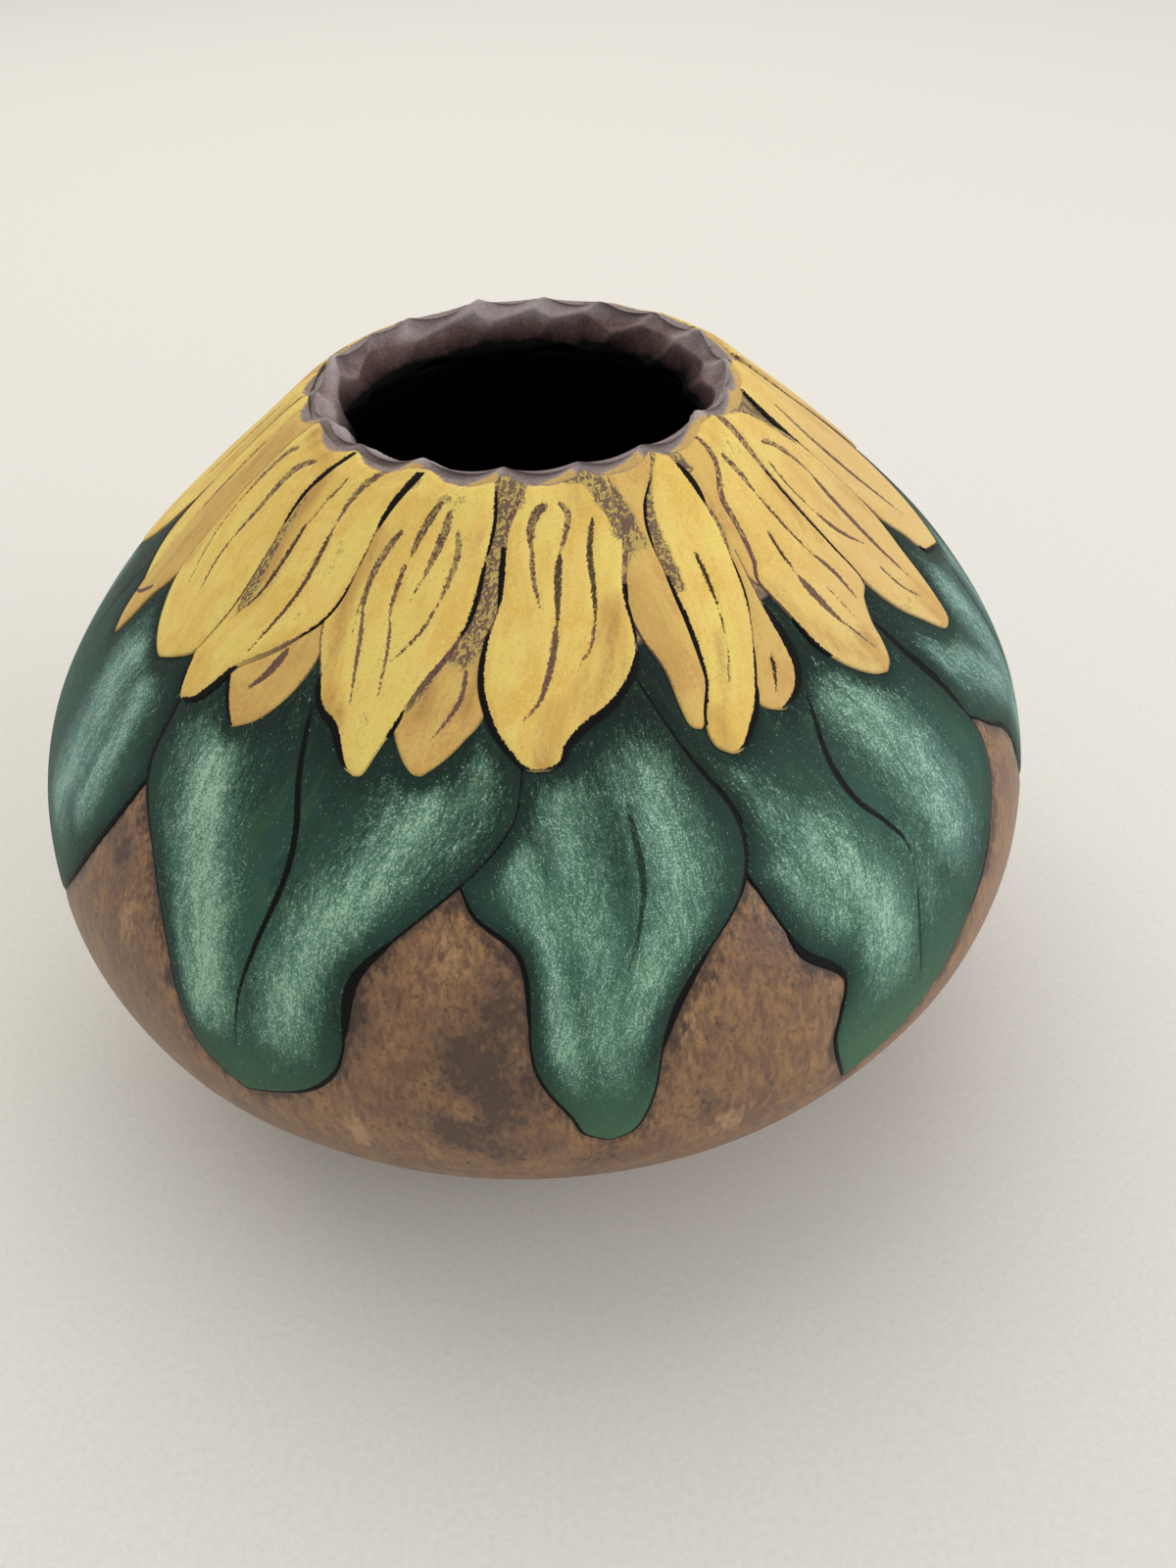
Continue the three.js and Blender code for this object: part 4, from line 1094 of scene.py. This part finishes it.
# Mould marks seen on the front: (around, down, reach across, reach down, strength), below 0 for pale ones
mouldMarks = [
    (-17, 74, 3, 7, 0.9), (-2.5, 71, 3.5, 5, 0.8), (-6, 78, 5, 5, 0.7), (-4, 86, 6, 7, 0.8), (-8, 93, 5, 4, 0.8),
    (-3, 98, 5, 4, 0.7), (-14, 90, 4, 6, 0.4), (-48, 66, 4, 4, 0.7), (-55, 80, 4, 8, 0.3), (17, 79.5, 1.5, 1.8, 0.7),
    (16, 94, 2.5, 3, 0.7), (24, 73, 3, 4, 0.6), (22, 67, 2, 3, 0.5), (6, 102, 5, 3, 0.5), (-12, 61, 2.5, 2.5, 0.6),
    (12, 85, 2, 5, 0.4), (65, 72, 2.5, 3, 0.4), (-7, 88, 1.6, 2.2, -0.9), (-18, 97, 1.8, 6, -0.8),
    (-8, 64, 4, 4, -0.5), (-11, 98, 2, 4, -0.6), (-45, 74, 2, 6, -0.6), (18, 99, 3, 5, -0.5), (14, 76, 3, 8, -0.3),
    (190, 74, 5, 5, 0.8), (214, 92, 6, 7, 0.7), (168, 96, 5, 4, 0.6), (150, 82, 2, 3, 0.7), (123, 96, 4, 5, 0.6),
    (236, 88, 3, 4, 0.6), (176, 86, 2, 4, -0.8), (205, 78, 2, 5, -0.7), (140, 94, 3, 5, -0.5),
]


def mouldOf(around, down):
    marks = np.zeros(len(around))
    for turn, length, reachAcross, reachDown, strength in mouldMarks:
        away = (around - turn + 180) % 360 - 180
        far = (away * degree * skinRadius(down) / reachAcross) ** 2 + ((down - length) / reachDown) ** 2
        marks += strength * np.exp(-far)
    return marks


def makeSkin():
    material, tree, given, noise = newMaterial("waxedGourdSkin", skinFinish, (
        "clear", "ground", "inside", "mould"))
    total = addSums(tree, noise, {
        "warm": (noise["streaks"], ("fibres", 1.2), ("clouds", 0.5), ("specks", 0.8)),
        "dark": (given["mould"], ("clouds", 1.8), ("specks", 2.2), ("fibres", 1.2), ("patches", 1.0)),
        "pale": (noise["fibres"], (given["mould"], -0.7), ("clouds", -1.0)),
        "scorched": (given["clear"], ("clouds", 8.0), ("fibres", 5.0)),
        "flaked": (given["ground"], ("fibres", 1.8), ("specks", 1.8)),
    })
    colour = layCoats(tree, skinFinish["brown"], [
        (skinFinish["warm"], total["warm"], 0.3, 0.8),
        (skinFinish["red"], noise["clouds"], 0.34, 0.52, 0.45, 0.0),
        (skinFinish["red"], noise["fibres"], 0.34, 0.52, 0.45, 0.0),
        (skinFinish["blotch"], total["dark"], 0.3, 0.85, 0.0, 0.84),
        (skinFinish["blotch"], noise["specks"], 0.56, 0.68, 0.0, 0.5),
        (skinFinish["ochre"], total["pale"], 0.66, 1.0, 0.0, 0.8),
        (skinFinish["blotch"], noise["pores"], 0.56, 0.74, 0.0, 0.45),
        (skinFinish["ground"], given["ground"]),
        (skinFinish["yellow"], total["flaked"], 0.9, 1.2, 0.0, 0.75),
        (skinFinish["scorch"], total["scorched"], 0.1, 2.0, 0.7, 0.0),
        (skinFinish["black"], given["inside"]),
    ])
    finishSurface(tree, skinFinish, colour, noise["pores"], noise["fibres"])
    return material


# The cut edge of the shell, gouged and stained: matte corky wood, greyed, and pale on its ridges near
# the crest, partly rubbed wear and partly a painted highlight; darker purple-brown further into the mouth,
# partly the stain and partly painted shade of the recess; black deepest in, where the black of the inside
# was sprayed over it
rimFinish = {
    "stain": "#918480",
    # purple-brown of the stain, also standing for painted shade further into the mouth
    "inner": "#664D47",
    # pale ridges near the crest: rubbed wear with a painted highlight
    "ridge": "#B7ACA9",
    "paint": "#CDA95C",
    "black": "#050505",
    "patterns": {"grain": (0.45, 0.45, 4.0, 0.7, 0.0), "clouds": (4.5, 4.5, 3.0, 0.5, 0.0)},
    "paintFrom": (0.7, 1.0),  # mm outside the crest, where the petals' paint begins
    "roughness": (0.67, 0.83),
    "specular": 0.06,
    "ior": 1.45,
    "grainDepth": 0.12,  # mm
}


def makeRimFinish():
    material, tree, given, noise = newMaterial("stainedCarvedShell", rimFinish, ("scoop", "deep", "outer"))
    total = addSums(tree, noise, {
        # darker further into the mouth: partly the stain, partly painted shade of the recess
        "far": (given["deep"], ("clouds", 0.6)),
        "sprayed": (given["deep"], ("clouds", 0.25)),
    })
    share = addRanges(tree, {
        "shallow": (given["deep"], 0.0, 0.45, 1.0, 0.1),
        "high": (given["scoop"], -0.6 * mm, 0.2 * mm, 0.0, 0.75),
        "beyond": (given["outer"], *rimFinish["paintFrom"], 0.0, 0.9),
        "uncut": (given["scoop"], -0.4 * mm, -0.2 * mm),
    })
    # Pale ridges near the crest: partly rubbed wear, partly a painted highlight
    rubbed = addNode(tree, "ShaderNodeMath", {0: share["high"], 1: share["shallow"]}, operation="MULTIPLY")
    painted = addNode(tree, "ShaderNodeMath", {0: share["beyond"], 1: share["uncut"]}, operation="MULTIPLY")
    colour = layCoats(tree, rimFinish["stain"], [
        (rimFinish["inner"], total["far"], 0.1, 0.36),
        (rimFinish["ridge"], rubbed),
        (rimFinish["paint"], painted),
        (rimFinish["inner"], noise["grain"], 0.5, 0.72, 0.0, 0.45),
        (rimFinish["ridge"], noise["grain"], 0.5, 0.3, 0.0, 0.25),
        (rimFinish["black"], total["sprayed"], 0.36, 0.66),
    ])
    finishSurface(tree, rimFinish, colour, noise["grain"], noise["grain"])
    return material


# Flat black paint brushed on the scraped inside: takes the light away, with a dry, slightly rough coat
liningFinish = {
    "black": "#121116",
    "dust": "#1B181A",
    "patterns": {"grain": (1.2, 1.2, 5.0, 0.7, 0.0)},
    "roughness": 0.75,
    "specular": 0.05,
    "ior": 1.5,
    "grainDepth": 0.3,  # mm
}


def makeLiningFinish():
    material, tree, given, noise = newMaterial("flatBlackPaint", liningFinish)
    colour = layCoats(tree, liningFinish["black"], [(liningFinish["dust"], noise["grain"], 0.5, 0.8)])
    finishSurface(tree, liningFinish, colour, noise["grain"])
    return material


paints = {
    "leaf_green": makeLeafPaint(),
    "petal_ochre": makePetalPaint("ochre"),
    "petal_yellow": makePetalPaint("yellow"),
}
skin = makeSkin()
rimWood = makeRimFinish()
blackPaint = makeLiningFinish()
print("materials made")


# The shell's own path runs from the hollow's floor up to the mouth, down the side and in to the foot
hollow = hollowSide(0)[::-1]
shellPath = np.concatenate([hollow, side, [[0, 0]]])
pathLengths = lengthsOf(shellPath)
skinStart = pathLengths[len(hollow)]
skinEnd = skinStart + sideLengths[-1]
gourdPath = pathObject("gourdPath", shellPath)

fields = layOutAll()
measureFields(fields)
print("painted fields measured:", len(fields), "levels", max(field["level"] for field in fields))


# How deep the lip's scoops cut around the crest (mm, below 0), read off the finished rim
def crestCutsOf(rim):
    count = len(rim.data.vertices)
    corners, scoop, deep = np.empty(3 * count), np.empty(count), np.empty(count)
    rim.data.vertices.foreach_get("co", corners)
    rim.data.attributes["scoop"].data.foreach_get("value", scoop)
    rim.data.attributes["deep"].data.foreach_get("value", deep)
    x, y = corners.reshape(-1, 3)[:, :2].T / mm
    near = (deep > 0) & (deep < lipShape["crestBand"])
    around = np.arctan2(x - gourdShape["mouthLean"], -y)[near] / degree
    order = np.argsort(around)
    turns = np.arange(-180, 180, lipShape["cutStep"])
    cuts = np.interp(turns, around[order], scoop[near][order] / mm, period=360)
    return turns, np.minimum(cuts, 0)


def mouthCut(around, down):  # the same scoops where they run on down the outside
    away = np.clip(down, 0, None) + lipShape["crestInset"]
    return np.minimum(np.interp(around, *crestCuts, period=360) + lipShape["scoopCurve"] * away ** 2, 0)


# The bare skin: mm down from the mouth where not said otherwise
skinShape = {
    "petalsTo": 20,  # all of it above is under petals
    "leavesTo": 112,
    "footFrom": 170,
    "riseTo": 168,
    "riseReach": 0.8,
    "groundTo": 30,  # ground paint shows between the petals down to here
    "fade": 6,
    "tuck": (0.7, 1.6),  # how deep, and over what length, the edge lies under the rim's skirt
    "insideTo": -0.4,
    "clearest": 9.0,
}


def makeShell():
    step = gourdShape["skinStep"] * fineness
    inner = np.linspace(0, pathLengths[len(hollow) - 1], int(pathLengths[len(hollow) - 1] / (3 * step)))
    outer = np.linspace(skinStart, skinEnd, int(sideLengths[-1] / step))
    foot = np.linspace(skinEnd, pathLengths[-1], 8)[1:]
    rows = np.concatenate([inner, outer, foot])
    columns = int(2 * math.pi * gourdShape["bellyRadius"] / step)
    down = np.repeat((rows - skinStart) / sideScale, columns + 1)
    around = np.tile(np.linspace(0, 360, columns + 1), len(rows))
    belowPetals = down > skinShape["petalsTo"]
    clear = np.where(belowPetals & (down < skinShape["footFrom"]), skinShape["clearest"], 0.0)
    near = belowPetals & (down < skinShape["leavesTo"])
    for field in fields:
        if field["kind"] == "leaf":
            clear[near] = np.minimum(clear[near], -depthInside(around[near], down[near], field["grown"]))
    aboveFoot = np.clip((skinShape["riseTo"] - down) / skinShape["fade"], 0, 1)
    swell = 1 - np.exp(-np.clip(clear, 0, None) / skinShape["riseReach"])
    rise = gourdShape["skinRise"] * swell * aboveFoot
    depth, reach = skinShape["tuck"]
    tucked = depth * np.clip(1 - down / reach, 0, 1)
    rise += (mouthCut(around, down) - tucked) * (down > skinShape["insideTo"])
    ground = np.clip((skinShape["groundTo"] - down) / skinShape["fade"], 0, 1)
    clear[down < skinShape["petalsTo"]] = skinShape["clearest"]
    piece = ringSheet("gourdShell", rows, columns, rise,
                      {"clear": clear, "ground": ground, "mould": mouldOf(around, down),
                       "inside": (down < skinShape["insideTo"]).astype(float)})
    wrap(piece, gourdPath, 0.0, gourdShape["uneven"], skin)
    return piece


liningShape = {"gap": 0.35, "thickness": 0.8, "rows": 80, "columns": 160, "outsideRows": 30}  # mm and counts


def makeLining():
    gap = liningShape["gap"]
    inside, outside = hollowSide(gap + liningShape["thickness"])[::-1], hollowSide(gap)
    path = np.concatenate([inside, outside])
    lengths = lengthsOf(path)
    corner = lengths[len(inside) - 1]
    rows = np.concatenate([
        np.linspace(0, corner, int(liningShape["rows"] / fineness)),
        np.linspace(lengths[len(inside)], lengths[-1], liningShape["outsideRows"])])
    columns = int(liningShape["columns"] / fineness)
    flatPath = pathObject("liningPath", path)
    piece = ringSheet("blackLining", rows, columns, np.zeros(len(rows) * (columns + 1)))
    wrap(piece, flatPath, 0.0, 0.0, blackPaint)
    bpy.data.objects.remove(flatPath)
    return piece


def makeRim():
    step = lipShape["step"] * fineness
    cut, rise = lipShape["cutIn"], lipShape["rise"]
    crestPoint = np.array([-lipShape["crestInset"], rise - lipShape["crestDrop"]])
    footPoint = np.array([-cut, rise - lipShape["faceFoot"] * lipShape["depth"]])
    onFace = [crestPoint + share * (footPoint - crestPoint) for share in lipShape["faceStops"]]
    section = mouthEdge + np.array([seatFoot - mouthEdge, *onFace, crestPoint, *lipShape["skirt"]])
    face = evenly(smoothLine(section), lipShape["sectionStep"])
    seat = np.linspace(face[-1], seatFoot, lipShape["seatPoints"])
    path = np.concatenate([face, seat[1:]])
    lengths = lengthsOf(path)
    faceLength = lengths[len(face) - 1]
    rows = np.concatenate([np.linspace(0, faceLength, int(faceLength / step)),
                           np.linspace(faceLength, lengths[-1], lipShape["seatRows"])[1:]])
    columns = int(2 * math.pi * gourdShape["mouthRadius"] / step)
    carve = np.clip(rows, 0, 1) * (rows <= faceLength)
    crest = lengthsOf(face)[np.argmax(face[:, 1])]
    flatPath = pathObject("rimPath", path)
    most = np.clip(crest + 1 - rows, 0, lipShape["ridgeMost"]) * mm
    piece = ringSheet("carvedRim", rows, columns, np.zeros(len(rows) * (columns + 1)),
                      {"carve": np.repeat(carve, columns + 1),
                       "deep": np.repeat(np.clip((crest - rows) / crest, 0, 1), columns + 1),
                       "outer": np.repeat(rows - crest, columns + 1),
                       "most": np.repeat(most, columns + 1)})
    modifier = piece.modifiers.new("scoops", "NODES")
    modifier.node_group = scoopTree
    setInputs(modifier, {
        "Squeeze": (gourdShape["mouthRadius"] - 0.5 * cut) * mm / lipShape["aspect"],
        "Skew": lipShape["skew"],
        "Depth": lipShape["scoopDepth"] * mm,
        "Curve": lipShape["scoopCurve"] / mm,
        "Jitter": lipShape["jitter"],
        "Seed": lipShape["seed"],
        "Crest Count": lipShape["crestScoops"],
        "Crest Line": (crest + lipShape["crestLine"]) * mm,
        "Inner Count": lipShape["innerScoops"],
        "Inner Line": lipShape["innerLine"] * crest * mm,
        "Inner Shift": lipShape["innerShift"],
        "Material": rimWood,
    })
    wrap(piece, flatPath, 0.0, gourdShape["uneven"], rimWood)
    bpy.data.objects.remove(flatPath)
    wear = piece.modifiers.new("wear", "SMOOTH")
    wear.iterations = lipShape["wear"]
    settle(piece)
    return piece


def place(piece, node, slotName):
    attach(piece, "root")
    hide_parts(node)


rim = makeRim()
crestCuts = crestCutsOf(rim)
place(rim, "mouth_rim", "carved_rim")
place(makeLining(), "black_lining", "black_paint")
print("rim and lining made")
place(makeShell(), "gourd_shell", "gourd_skin")
print("shell made")

for number, field in enumerate(fields):
    tone = "green" if field["kind"] == "leaf" else "ochre" if field["drawn"].get("ochre") else "yellow"
    slotName = field["kind"] + "_" + tone
    place(makeField(field, number, gourdPath, skinStart, paints[slotName]), field["name"], slotName)
bpy.data.objects.remove(gourdPath)
print("petals and leaves made")

# Pale drawing paper under a large soft lamp from above and a little behind, with a weaker fill from the right
studio = {
    "paper": "#E6E3D9",
    "fibre": "#DEDBD1",
    "patterns": {"fibres": (10 / 9, 10 / 9, 4.0, 0.7, 0.0)},
    "roughness": 0.9,
    "aim": (0, 0, 0.06),  # metres
    "floorWidth": 4.0,  # metres
    "ambient": "#F2F3F7",
    "ambientStrength": 0.69,
    "key": {"place": (-0.18, 0.58, 1.2), "size": 1.6, "power": 9.6, "colour": "#FFFAF2"},
    "fill": {"place": (1.0, -0.42, 0.42), "size": 0.8, "power": 5.4, "colour": "#F6F6FF"},
}


def makeFloor():
    material, tree, given, noise = newMaterial("drawingPaper", studio)
    colour = layCoats(tree, studio["paper"], [(studio["fibre"], noise["fibres"], 0.4, 0.7)])
    shader = addNode(tree, "ShaderNodeBsdfPrincipled", {
        "Base Color": colour, "Roughness": studio["roughness"]})
    addNode(tree, "ShaderNodeOutputMaterial", {"Surface": shader})
    half = studio["floorWidth"] / 2
    corners = np.array([(-half, -half, 0), (half, -half, 0), (half, half, 0), (-half, half, 0)])
    floor = newObject("paperFloor", corners, [], [(0, 1, 2, 3)])
    floor.data.materials.append(material)


def addLamp(name, lamp):
    data = bpy.data.lights.new(name, "AREA")
    data.size = lamp["size"]
    data.energy = lamp["power"]
    data.color = toLinear(lamp["colour"])[:3]
    light = bpy.data.objects.new(name, data)
    aim = Vector(studio["aim"]) - Vector(lamp["place"])
    light.matrix_world = Matrix.Translation(lamp["place"]) @ aim.to_track_quat("-Z", "Y").to_matrix().to_4x4()
    bpy.context.scene.collection.objects.link(light)


def setAmbient():
    world = bpy.data.worlds.new("softRoom")
    world.use_nodes = True
    background = world.node_tree.nodes["Background"]
    background.inputs["Color"].default_value = toLinear(studio["ambient"])
    background.inputs["Strength"].default_value = studio["ambientStrength"]
    bpy.context.scene.world = world


makeFloor()
addLamp("keyLamp", studio["key"])
addLamp("fillLamp", studio["fill"])
setAmbient()
bpy.context.scene.view_settings.view_transform = "Standard"
print("stage made")
